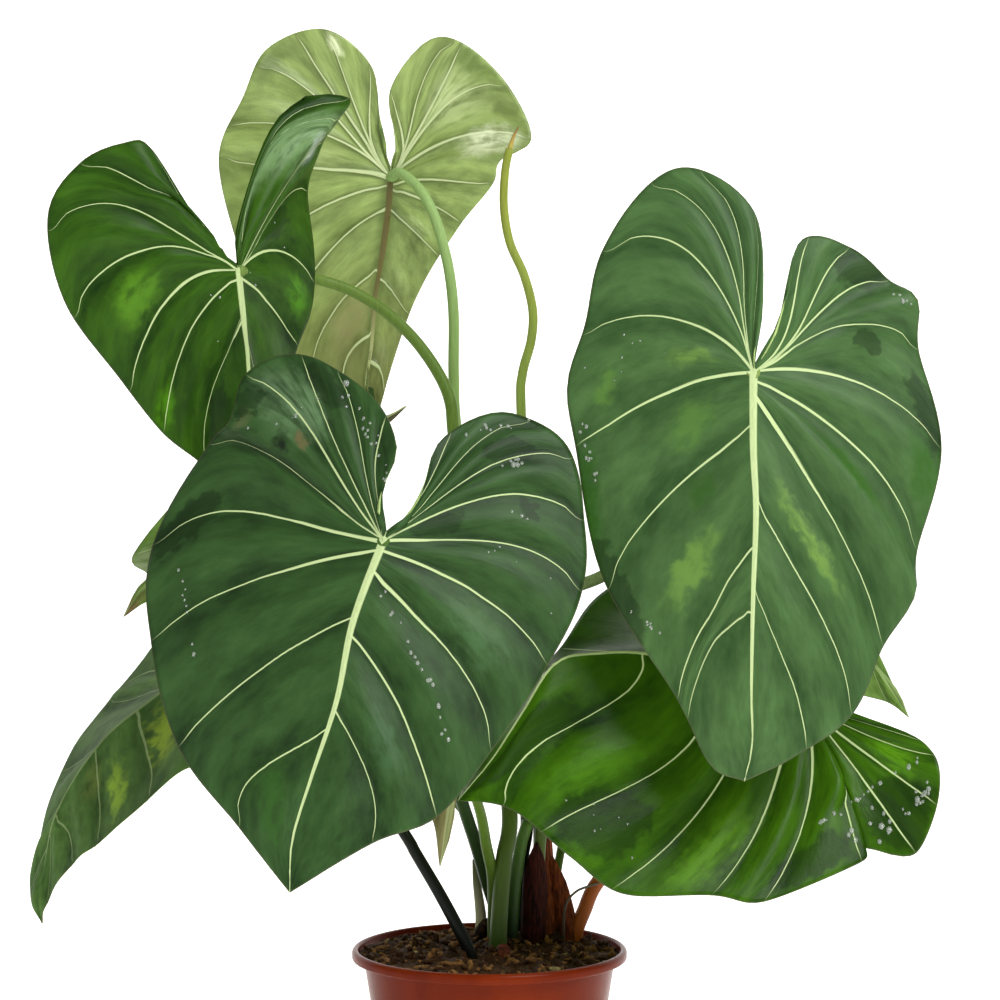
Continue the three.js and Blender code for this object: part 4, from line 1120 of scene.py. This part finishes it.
def blade_upper_material(name, look, sizes):
    """Living leaf, upper face: dark and softly lit, with crisp pale veins sunk in it."""
    material, tree, shader = new_material(f"{name} leaf cuticle, upper, grown")
    place = node(tree, COORDINATES).outputs["Object"]
    fields = vein_fields(tree, sizes)
    places = blade_places(tree, fields, place)
    tone = leaf_tone(tree, fields, place)
    base = lay_over(tree, linear(look["deep"]), [(tone, linear(look["light"]))])
    base = add_marks(tree, base, MARKS.get(name, []), places, fields["streaks"])
    if name in WET:
        film = node(tree, MATH, TIMES, (wetness(tree, WET[name], places), FILM))
        base = lay_over(tree, base, [(film, linear("0c1f06"))])
    veined = node(tree, MATH, TIMES, (fields["vein"], look["veined"]))
    edge = node(tree, MAP_RANGE, SMOOTH, (fields["rim"], 0.3, 1.1, 0.55, 0))
    base = lay_over(tree, base, [(veined, sizes.vein), (edge, linear("56583a"))])
    grain = node(tree, NOISE, None, {"Vector": place, "Scale": 1 / (1.4 * MM), "Detail": 3})
    height = node(tree, MATH, TIMES, (grain, 0.3))
    height = node(tree, MATH, TIMES_PLUS, (fields["vein"], -1.2, height))
    height = node(tree, MATH, TIMES_PLUS, (fields["streaks"], 2.5, height))
    connect(tree, shader, {"IOR": LEAF_IOR})
    finish_shader(tree, shader, base, (look["rough"], look["shine"]), height, (0.5, 0.35))
    return material


def blade_under_material(name, look, sizes):
    """Living leaf, lower face: pale and matt, with ribs that stand out."""
    material, tree, shader = new_material(f"{name} leaf cuticle, lower, grown")
    place = node(tree, COORDINATES).outputs["Object"]
    fields = vein_fields(tree, sizes)
    places = blade_places(tree, fields, place)
    tone = leaf_tone(tree, fields, place)
    down = fields["down"]
    base = lay_over(tree, linear(look["under"]), [
        (tone, linear(look["under_light"])),
        (node(tree, MAP_RANGE, SMOOTH, (down, 0.15, 0.9, 0, 0.6)), linear("767244")),  # ageing
        # painted shadow beside the raised ribs, 4c5c28
        (node(tree, MATH, TIMES, (fields["painted_rib_shadow"], 0.45)), linear("4c5c28")),  # beside the ribs
        (node(tree, MATH, TIMES, (fields["rib_vein"], 0.85)), linear("cbd8a2")),
        (node(tree, MAP_RANGE, SMOOTH, (down, 0.84, 0.9, 0, 0.8)), linear("4e4438")),  # dry tip
    ])
    base = add_marks(tree, base, MARKS.get(name, []), places, fields["streaks"])
    withered = node(tree, MAP_RANGE, SMOOTH, (down, 0.35, 0.75))
    keel = lay_over(tree, linear("6a6234"), [(withered, linear("b9c084"))])
    base = lay_over(tree, base, [(fields["midrib"], keel)])
    grain = node(tree, NOISE, None, {"Vector": place, "Scale": 1 / (1.3 * MM), "Detail": 3})
    height = node(tree, MATH, TIMES_PLUS, (fields["streaks"], 3, grain))
    connect(tree, shader, {"IOR": LEAF_IOR})
    finish_shader(tree, shader, base, (0.36, 0.45), height, (0.5, 0.4))
    return material


# ------------------------------------------------------------------ water

# Drops along lines on the blades, as ((x, z), (x, z), count, spread, radius).
DROPS = {
    "leaf_front": [
        ((-65, 400), (-49, 369), 6, 2, 1.1), ((-49, 369), (-31, 338), 7, 2, 1.2),
        ((-31, 338), (-23, 300), 7, 2, 1.1), ((-196, 419), (-182, 360), 9, 2, 1.1),
        ((-92, 533), (-90, 530), 2, 1, 2.2), ((-92, 522), (-66, 490), 14, 6, 1.0),
        ((-66, 490), (-62, 462), 7, 4, 1.0), ((7, 476), (20, 482), 7, 4, 1.5),
        ((-12, 501), (26, 510), 9, 4, 1.1), ((18, 450), (24, 444), 4, 3, 1.2),
        ((-150, 500), (-110, 520), 8, 8, 0.8), ((-20, 430), (30, 400), 6, 20, 0.7),
    ],
    "leaf_right": [
        ((262, 590), (276, 584), 6, 3, 1.4), ((56, 510), (72, 465), 12, 4, 1.0),
        ((92, 388), (108, 370), 8, 4, 0.9), ((120, 560), (60, 540), 8, 16, 0.7),
    ],
    "leaf_low_right": [
        ((215, 246), (232, 254), 8, 2, 1.3), ((238, 258), (282, 288), 12, 2, 1.3),
        ((90, 240), (60, 260), 8, 14, 0.8), ((234, 240), (282, 262), 10, 8, 1.2),
        ((236, 239), (236, 243), 4, 5, 1.8), ((256, 241), (262, 243), 6, 5, 1.8),
        ((276, 256), (286, 272), 8, 5, 1.6),
    ],
    "leaf_high_left": [((-200, 560), (-150, 640), 8, 20, 0.7)],
}


def water_material():
    """Water, beaded on wax: mirror smooth and three quarters clear, so each drop catches a point
    of light; the rest is an opaque near-white, a painted highlight that makes the drops show pale.
    """
    material, tree, shader = new_material("water, beaded")
    connect(tree, shader, {
        "Base Color": linear("f2fbee"), "Roughness": 0.03, "IOR": 1.33,
        "Transmission Weight": 0.75,
    })
    return material


def drop_mesh(blade, lines, random):
    """Drops that lie on the side of a blade that faces -Y."""
    surface = BVHTree.FromObject(blade, bpy.context.evaluated_depsgraph_get())
    mesh = bmesh.new()
    for start, end, count, spread, radius in lines:
        for _ in range(count):
            x, z = np.array(start) + (np.array(end) - start) * random.random()
            x, z = np.array((x, z)) + spread * random.normal(size=2) / 2
            spot, normal, *_ = surface.ray_cast(Vector((x, -1000, z)) * MM, Vector((0, 1, 0)))
            if spot is None:
                continue
            size = radius * (0.6 + 0.8 * random.random()) * MM
            place = Matrix.Translation(spot) @ normal.to_track_quat("Z", "Y").to_matrix().to_4x4()
            shape = Matrix.Diagonal((1, 1 + 0.5 * random.random(), 0.6, 1))
            bmesh.ops.create_icosphere(mesh, subdivisions=1, radius=size, matrix=place @ shape)
    return mesh


# ------------------------------------------------------------------ stalks and crown

# Leaf stalks: colour at the foot, in the middle and at the top, and roughness.
STALK_LOOKS = {
    "dark": ("1d3010", "2f4a1a", "4a6a2c", 0.36),
    "black": ("090d07", "10170b", "34481f", 0.34),
    "olive": ("3d5218", "557026", "66803a", 0.4),
    "ashen": ("788464", "86966a", "7f9650", 0.45),
    "pale": ("1e3214", "708c48", "90ae6a", 0.36),
    "brown": ("8e4a16", "8a5428", "707c3a", 0.4),
    "yellow": ("4a5c26", "86a254", "86903a", 0.4),
    "grey": ("9a967c", "a8a488", "39461e", 0.7),
    "thread": ("a89a48", "a08848", "7a6238", 0.6),
    "root": ("3a342c", "4c463c", "5a544a", 0.8),
}


def strands(tree, stretch, size, detail, rough=0.5):
    """Grain of this size in mm over the plant, drawn out where the stretch is below one."""
    place = node(tree, COORDINATES).outputs["Object"]
    drawn = node(tree, MAPPING, None, {"Vector": place, "Scale": stretch})
    return node(tree, NOISE, None, {
        "Vector": drawn, "Scale": 1 / (size * MM), "Detail": detail, "Roughness": rough,
    })


def stem_material(look_name):
    """Fleshy stalk skin: satin, streaked along its length, changing from foot to top."""
    foot, middle, top, rough = STALK_LOOKS[look_name]
    material, tree, shader = new_material(f"{look_name} stalk skin, grown")
    along = node(tree, ATTRIBUTE, {"attribute_name": "along"}).outputs["Fac"]
    base = lay_over(tree, linear(foot), [
        (node(tree, MAP_RANGE, SMOOTH, (along, 0.15, 0.45)), linear(middle)),
        (node(tree, MAP_RANGE, SMOOTH, (along, 0.4)), linear(top)),
    ])
    streaks = strands(tree, (1, 1, 0.08), 1.6, 3)
    tone = node(tree, MAP_RANGE, None, (streaks, 0, 1, 0.72, 1.28))
    base = node(tree, MIX, RGB_TIMES, {0: 1, A: base, B: tone})
    finish_shader(tree, shader, base, (rough, 0.14), streaks, (0.3, 0.3))
    return material


def tube_mesh(route, radius_at, rings, sides=20):
    """A closed tube along a route. radius_at(part, angles) gives its radii, in metres."""
    curve = Spline(route)
    parts = np.linspace(0, 1, rings)
    centres = curve.along(parts)
    tangents = curve.tangent(parts)
    normal = unit(np.cross(tangents[0], (0, 1, 0)))
    angles = np.linspace(0, 2 * math.pi, sides + 1)
    cosines, sines = np.cos(angles)[:, None], np.sin(angles)[:, None]
    points = np.empty((rings, sides + 1, 3))
    for i, tangent in enumerate(tangents):
        normal = unit(normal - tangent * (normal @ tangent))
        other = np.cross(tangent, normal)
        radius = radius_at(parts[i], angles)[:, None]
        points[i] = centres[i] + radius * (cosines * normal + sines * other)
    mesh = grid_mesh(points)
    paint(mesh, {"along": np.repeat(parts, sides + 1)})
    bmesh.ops.remove_doubles(mesh, verts=mesh.verts, dist=1e-7)
    bmesh.ops.holes_fill(mesh, edges=[edge for edge in mesh.edges if edge.is_boundary])
    bmesh.ops.recalc_face_normals(mesh, faces=mesh.faces)
    return mesh


HEEL, KNEE = 0.12, 0.15  # how much thicker a stalk is at its foot and under its blade
STEM_RING = 3.5 * MM  # from one ring of a stalk to the next


def stem_mesh(stem):
    """A stalk, a little ribbed, thicker at its foot and under its blade."""
    foot, top = stem["foot"] * MM, stem["top"] * MM
    knee = KNEE if "leaf" in stem else 0

    def radius_at(part, angles):
        body = foot + (top - foot) * part
        body *= 1 + HEEL * (1 - smoothstep(0, 0.06, part)) + knee * smoothstep(0.965, 1, part)
        return body * (1 + 0.015 * np.cos(7 * angles))

    rings = max(24, round(Spline(stem["route"]).length / STEM_RING))
    return tube_mesh(stem["route"], radius_at, rings)


def thread_radius(part, angles):
    """The radius of the bare stalk's dried end, which narrows to a point."""
    return np.full(len(angles), (1.9 - 1.4 * part) * MM)


# ------------------------------------------------------------------ pot and soil


def pot_mesh():
    """The pot turned round its axis from its profile."""
    mesh = line_mesh((radius * MM, 0, up * MM) for radius, up in POT_PROFILE)
    bmesh.ops.spin(
        mesh, geom=[*mesh.verts, *mesh.edges], cent=(0, 0, 0), axis=(0, 0, 1), dvec=(0, 0, 0),
        angle=2 * math.pi, steps=POT_STEPS, use_merge=True,
    )
    bmesh.ops.remove_doubles(mesh, verts=mesh.verts, dist=1e-6)
    bmesh.ops.recalc_face_normals(mesh, faces=mesh.faces)
    return mesh


def drain_hole_cutters():
    """One mesh of the round holes through the pot's base."""
    count, radius, circle = DRAIN_HOLES.values()
    mesh = bmesh.new()
    for i in range(count):
        angle = 2 * math.pi * (i + 0.5) / count
        spot = Vector((math.cos(angle), math.sin(angle), 0)) * circle * MM
        bmesh.ops.create_cone(
            mesh, cap_ends=True, segments=32, radius1=radius * MM, radius2=radius * MM,
            depth=HOLE_DEPTH * MM, matrix=Matrix.Translation(spot),
        )
    return mesh


def cut_holes(piece, cutters):
    """Takes the cutters out of a piece and drops them."""
    cutter = add_object("drain_holes", cutters, smooth=False)
    boolean = piece.modifiers.new("drain holes", "BOOLEAN")
    boolean.operation = "DIFFERENCE"
    boolean.solver = "EXACT"
    boolean.object = cutter
    evaluated = piece.evaluated_get(bpy.context.evaluated_depsgraph_get())
    cut = bpy.data.meshes.new_from_object(evaluated)
    piece.modifiers.clear()
    piece.data = cut
    bpy.data.objects.remove(cutter)


def pot_material(props):
    """Polypropylene, injection moulded: glossy, evenly coloured, with faint flow marks."""
    material, tree, shader = new_material("polypropylene, injection moulded")
    tone = node(tree, MAP_RANGE, None, (strands(tree, (1, 1, 0.15), 30, 3), 0.3, 0.7))
    base = lay_over(tree, props.plastic_shade, [(tone, props.plastic)])
    place = node(tree, COORDINATES).outputs["Object"]
    skin = node(tree, NOISE, None, {"Vector": place, "Scale": 1 / (2.2 * MM), "Detail": 2})
    finish_shader(tree, shader, base, (0.26, 0.07), skin, (0.08, 0.3))
    return material


SOIL_LEVEL, SOIL_EDGE = 143.5, 89.6
SOIL_RINGS, SOIL_SPOKES = 70, 200
# Where the soil meets the pot's wall and floor, as (radius, height).
SOIL_WALL = [
    (89.6, 142.6), (84, 139), (81, 122), (77.6, 104), (76, 100), (74.6, 96), (62.6, 4), (0, 4),
]
CRUMBS, CRUMB_REACH = 1100, 87
BARK_SHARE, PERLITE_SHARE = 0.45, 0.05  # the share of bark, and of perlite in the rest


def soil_height(x, y):
    """The soil's lumpy top at a place, in millimetres."""
    out = min(math.hypot(x, y) / SOIL_EDGE, 1)
    coarse = math.sin(x / 7.3 + 1.1) * math.sin(y / 6.1 + 0.4)
    fine = math.sin(x / 3.9 + y / 9 + 2) * math.sin(y / 4.3 - x / 11)
    lumps = 1.8 * (coarse + 0.7 * fine) * (1 - out**6)
    crumbs = 1.5 * noise.fractal(Vector((x, y, 7)) / 4.5, 0.6, 2.2, 4)
    return SOIL_LEVEL + 5 * (1 - out**2) + lumps + crumbs


def soil_mesh():
    """The mound of potting mix down to the pot's floor, with crumbs lying on it."""
    angles = np.linspace(0, 2 * math.pi, SOIL_SPOKES + 1)
    radii = SOIL_EDGE * np.linspace(0, 1, SOIL_RINGS) ** 0.8
    points = np.empty((SOIL_RINGS + len(SOIL_WALL), SOIL_SPOKES + 1, 3))
    for i, radius in enumerate(radii):
        for j, angle in enumerate(angles[:-1]):
            x, y = radius * math.cos(angle), radius * math.sin(angle)
            points[i, j] = (x, y, soil_height(x, y))
    for i, (radius, up) in enumerate(SOIL_WALL, SOIL_RINGS):
        points[i, :, 0], points[i, :, 1] = radius * np.cos(angles), radius * np.sin(angles)
        points[i, :, 2] = up
    points[:, -1] = points[:, 0]
    mesh = grid_mesh(points * MM)
    bmesh.ops.remove_doubles(mesh, verts=mesh.verts, dist=1e-6)
    bmesh.ops.recalc_face_normals(mesh, faces=mesh.faces)
    random = np.random.default_rng(7)
    for _ in range(CRUMBS):
        radius = CRUMB_REACH * math.sqrt(random.random())
        angle = random.random() * 2 * math.pi
        x, y = radius * math.cos(angle), radius * math.sin(angle)
        size = 0.8 + 2.6 * random.random() ** 3
        stretch = Matrix.Diagonal((1 + 1.5 * random.random(), 1, 0.6, 1))
        turn = Matrix.Rotation(random.random() * 7, 4, random.normal(size=3))
        place = Matrix.Translation(Vector((x, y, soil_height(x, y) + 0.3 * size)) * MM)
        kind = 0
        if random.random() < BARK_SHARE:
            kind = 1
        elif random.random() < PERLITE_SHARE:
            kind = 2
        made = bmesh.ops.create_icosphere(
            mesh, subdivisions=1, radius=size * MM, matrix=place @ turn @ stretch
        )
        for face in {face for vertex in made["verts"] for face in vertex.link_faces}:
            face.material_index = kind
    return mesh


def soil_materials(props):
    """Potting mix: dark damp peat, duller brown bark and pale perlite, all rough and matt."""
    found = []
    looks = (
        ("peat, damp and crumbled", props.peat, 0.75, 0.6),
        ("pine bark, chipped", props.bark, 0.8, 1.6),
        ("perlite, expanded", props.perlite, 0.9, 1.2),
    )
    for name, tint, rough, grit in looks:
        material, tree, shader = new_material(name)
        place = node(tree, COORDINATES).outputs["Object"]
        spots = node(tree, NOISE, None, {
            "Vector": place, "Scale": 1 / (3 * MM), "Detail": 6, "Roughness": 0.7,
        })
        tone = node(tree, MAP_RANGE, None, (spots, 0.35, 0.7, 0.35, 2))
        base = node(tree, MIX, RGB_TIMES, {0: 1, A: tint, B: tone})
        finish_shader(tree, shader, base, (rough, 0.1), spots, (0.8, grit))
        found.append(material)
    return found


# ------------------------------------------------------------------ crown


def wrinkles(along, angles):
    """Roughness round a stem, from -1 to 1."""
    around = [Vector((along, 2 * math.cos(angle), 2 * math.sin(angle))) for angle in angles]
    return np.array([noise.noise(place) for place in around])


def rhizome_mesh():
    """The creeping stem, ringed by leaf scars."""
    route, radius, knuckle, knuckles = RHIZOME.values()

    def radius_at(part, angles):
        ends = 1 - 0.45 * (2 * part - 1) ** 4
        body = radius * ends + knuckle * math.cos(2 * math.pi * knuckles * part)
        return (body + 0.9 * wrinkles(9 * part, angles)) * MM

    return tube_mesh(route, radius_at, rings=110, sides=40)


def bud_mesh(bud):
    """A short knob, blunt at both ends and wrinkled."""

    def radius_at(part, angles):
        body = bud["radius"] * (1 - abs(2 * part - 1) ** 3) ** 0.5 + 0.2
        return body * (1 + 0.25 * wrinkles(5 * part, angles)) * MM

    return tube_mesh(bud["route"], radius_at, rings=30, sides=24)


HUSK_THICKNESS = 0.6 * MM


def husk_mesh(husk, rows=46, columns=20):
    """A papery sheath: a pointed strip curled round its stalk, with a torn rim."""
    foot, tip, width, curl, hollow = husk.values()
    start, end = np.array(foot, float), np.array(tip, float)
    facing = math.radians(hollow)
    inward = np.array((math.cos(facing), math.sin(facing), 0))
    across = np.cross((0, 0, 1), inward)
    points = np.empty((rows, columns + 1, 3))
    for i, t in enumerate(np.linspace(0, 1, rows)):
        half = width / 2 * (1 - t**3) + 0.6
        half += 0.5 * noise.noise(Vector((t * 14, width, 0)))
        centre = start + (end - start) * t + inward * 1.5 * math.sin(3 * t)
        for k, side in enumerate(np.linspace(-1, 1, columns + 1)):
            angle = side * half / curl
            crease = 0.3 * noise.noise(Vector((t * 6, side * 5, curl)))
            place = centre - across * curl * math.sin(angle)
            points[i, k] = place + inward * (curl * (1 - math.cos(angle)) + crease)
    mesh = grid_mesh(points * MM)
    paint(mesh, {"along": np.repeat(np.linspace(0, 1, rows), columns + 1)})
    bmesh.ops.recalc_face_normals(mesh, faces=mesh.faces)
    bmesh.ops.solidify(mesh, geom=mesh.faces[:], thickness=HUSK_THICKNESS)
    return mesh


def bark_material(name, dark, pale, stretch=(1, 1, 0.12), grain=1.2):
    """Dried plant tissue: dark, fibrous along its length, paler where it is worn."""
    material, tree, shader = new_material(name)
    fibres = strands(tree, stretch, grain, 5, 0.65)
    tone = node(tree, MAP_RANGE, None, (fibres, 0.38, 0.72))
    base = lay_over(tree, linear(dark), [(tone, linear(pale))])
    finish_shader(tree, shader, base, (0.7, 0.08), fibres, (0.7, 0.6))
    return material


# ------------------------------------------------------------------ operators


class GLORIOSUM_OT_blades(bpy.types.Operator):
    """Grow the nine leaf blades"""

    bl_idname = "gloriosum.blades"
    bl_label = "Leaf blades"

    def execute(self, context):
        sizes = context.scene.gloriosum_blades
        for name in LEAVES:
            look = LOOKS[name]
            upper = blade_upper_material(name, look, sizes)
            under = blade_under_material(name, look, sizes)
            mesh = blade_mesh(name, sizes, SMALL_FINENESS if "small" in name else 1)
            add_piece(f"{name}_blade", mesh, [upper, under], replaces=[name])
        return {"FINISHED"}


class GLORIOSUM_OT_water(bpy.types.Operator):
    """Drop water on the blades"""

    bl_idname = "gloriosum.water"
    bl_label = "Water"

    def execute(self, context):
        water = water_material()
        random = np.random.default_rng(3)
        for name, lines in DROPS.items():
            blade = bpy.data.objects[f"{name}_blade"]
            add_piece(f"{name}_drops", drop_mesh(blade, lines, random), [water])
        return {"FINISHED"}


class GLORIOSUM_OT_stalks(bpy.types.Operator):
    """Grow the leaf stalks, the stubs and the aerial root"""

    bl_idname = "gloriosum.stalks"
    bl_label = "Stalks"

    def execute(self, context):
        skins = {look: stem_material(look) for look in STALK_LOOKS}
        for name, stem in STALKS.items():
            add_piece(f"{name}_stem", stem_mesh(stem), [skins[stem["look"]]], replaces=[name])
        thread = tube_mesh(DRY_THREAD, thread_radius, rings=14, sides=8)
        add_piece("stalk_bare_thread", thread, [skins["thread"]])
        return {"FINISHED"}


class GLORIOSUM_OT_crown(bpy.types.Operator):
    """Grow the rhizome and the papery sheaths"""

    bl_idname = "gloriosum.crown"
    bl_label = "Crown"

    def execute(self, context):
        bark = bark_material("rhizome, corky skin", "120b07", "4a3526", (1, 1, 1), 3)
        add_piece("rhizome_skin", rhizome_mesh(), [bark], replaces=["rhizome"])
        red = bark_material("rhizome, growing tip", "34130a", "7a3a24", (1, 1, 1), 4)
        for i, (bud, skin) in enumerate(zip(BUDS, (red, bark))):
            add_piece(f"rhizome_bud_{i}", bud_mesh(bud), [skin])
        brown = bark_material("cataphyll, dried papery", "2e120a", "8a441c")
        dark = bark_material("cataphyll, dark and damp", "0c0403", "4a1c14")
        for name, husk in HUSKS.items():
            skin = dark if name == "husk_dark" else brown
            add_piece(f"{name}_sheath", husk_mesh(husk), [skin], replaces=[name])
        return {"FINISHED"}


class GLORIOSUM_OT_pot(bpy.types.Operator):
    """Mould the pot with its drain holes"""

    bl_idname = "gloriosum.pot"
    bl_label = "Pot"

    def execute(self, context):
        plastic = pot_material(context.scene.gloriosum_pot)
        pot = add_piece("pot_moulded", pot_mesh(), [plastic], replaces=["pot"])
        cut_holes(pot, drain_hole_cutters())
        return {"FINISHED"}


class GLORIOSUM_OT_soil(bpy.types.Operator):
    """Fill the pot with potting mix"""

    bl_idname = "gloriosum.soil"
    bl_label = "Soil"

    def execute(self, context):
        materials = soil_materials(context.scene.gloriosum_pot)
        add_piece("soil_mix", soil_mesh(), materials, replaces=["soil"])
        return {"FINISHED"}


LIT = Vector((0, 0, 0.45))  # where the soft boxes aim
SWEEP_BEND, SWEEP_BACK, SWEEP_WIDE = 0.8, 2.4, 5  # radius, distance behind and half width
SWEEP_FRONT, SWEEP_TOP, SWEEP_STEPS = -4, 4, 12


def paper_material(props):
    """Paper, matt: even and without gloss, and lit from behind so that no shadow is hard."""
    material, tree, shader = new_material("seamless paper, matt")
    connect(tree, shader, {
        "Base Color": props.floor, "Roughness": 0.9,
        "Emission Color": props.floor, "Emission Strength": props.backlight,
    })
    return material


def sweep_mesh():
    """The paper: a floor that bends up into a wall."""
    places = [(-SWEEP_WIDE, SWEEP_FRONT, 0)]
    for i in range(SWEEP_STEPS + 1):
        turn = math.pi / 2 * i / SWEEP_STEPS
        y = SWEEP_BACK - SWEEP_BEND + SWEEP_BEND * math.sin(turn)
        places.append((-SWEEP_WIDE, y, SWEEP_BEND - SWEEP_BEND * math.cos(turn)))
    mesh = line_mesh([*places, (-SWEEP_WIDE, SWEEP_BACK, SWEEP_TOP)])
    swept = bmesh.ops.extrude_edge_only(mesh, edges=mesh.edges[:])["geom"]
    moved = [item for item in swept if isinstance(item, bmesh.types.BMVert)]
    bmesh.ops.translate(mesh, verts=moved, vec=(2 * SWEEP_WIDE, 0, 0))
    bmesh.ops.recalc_face_normals(mesh, faces=mesh.faces)
    return mesh


def add_soft_box(name, place, size, power):
    """A square area light that faces the plant's middle."""
    light = bpy.data.lights.new(name, "AREA")
    light.shape = "SQUARE"
    light.size = size
    light.energy = power
    box = bpy.data.objects.new(name, light)
    box.location = place
    box.rotation_euler = (LIT - Vector(place)).to_track_quat("-Z", "Y").to_euler()
    bpy.context.scene.collection.objects.link(box)


class GLORIOSUM_OT_stage(bpy.types.Operator):
    """Set up the sweep, the soft boxes and the camera"""

    bl_idname = "gloriosum.stage"
    bl_label = "Stage"

    def execute(self, context):
        props = context.scene.gloriosum_stage
        sweep = add_object("paper_sweep", sweep_mesh(), [paper_material(props)])
        world = bpy.data.worlds.new("studio")
        world.use_nodes = True
        background = world.node_tree.nodes["Background"]
        connect(world.node_tree, background, {"Color": (1, 1, 1, 1), "Strength": props.daylight})
        context.scene.world = world
        context.scene.view_settings.view_transform = "Standard"
        add_soft_box("key_box", (1.2, -1.5, 2.1), 1.4, props.key_power)
        add_soft_box("fill_box", (-1.6, -1.6, 1.0), 1.6, props.fill_power)
        camera = bpy.data.cameras.new("camera")
        camera.lens = props.lens
        camera.sensor_width = 36
        viewer = bpy.data.objects.new("camera", camera)
        viewer.location = props.camera_place
        viewer.rotation_euler = (math.pi / 2, 0, 0)
        context.scene.collection.objects.link(viewer)
        context.scene.camera = viewer
        return {"FINISHED"}


class GLORIOSUM_PT_panel(bpy.types.Panel):
    """The plant's pieces, each with its button"""

    bl_label = "Gloriosum"
    bl_idname = "GLORIOSUM_PT_panel"
    bl_space_type = "VIEW_3D"
    bl_region_type = "UI"
    bl_category = "Gloriosum"

    def draw(self, context):
        for operator in OPERATORS:
            self.layout.operator(operator.bl_idname)
        for group in PROPERTY_GROUPS:
            settings = getattr(context.scene, group)
            for name in settings.bl_rna.properties.keys():
                if name not in ("rna_type", "name"):
                    self.layout.prop(settings, name)


PROPERTY_GROUPS = {
    "gloriosum_blades": GloriosumBlades,
    "gloriosum_pot": GloriosumPot,
    "gloriosum_stage": GloriosumStage,
}
OPERATORS = (
    GLORIOSUM_OT_blades,
    GLORIOSUM_OT_water,
    GLORIOSUM_OT_stalks,
    GLORIOSUM_OT_crown,
    GLORIOSUM_OT_pot,
    GLORIOSUM_OT_soil,
    GLORIOSUM_OT_stage,
)


def register():
    for name, group in PROPERTY_GROUPS.items():
        bpy.utils.register_class(group)
        setattr(bpy.types.Scene, name, bpy.props.PointerProperty(type=group))
    for kind in (*OPERATORS, GLORIOSUM_PT_panel):
        bpy.utils.register_class(kind)


def unregister():
    for kind in reversed((*OPERATORS, GLORIOSUM_PT_panel)):
        bpy.utils.unregister_class(kind)
    for name, group in PROPERTY_GROUPS.items():
        delattr(bpy.types.Scene, name)
        bpy.utils.unregister_class(group)


def main():
    register()
    for operator in OPERATORS:
        group, name = operator.bl_idname.split(".")
        getattr(getattr(bpy.ops, group), name)()


if __name__ == "__main__":
    main()
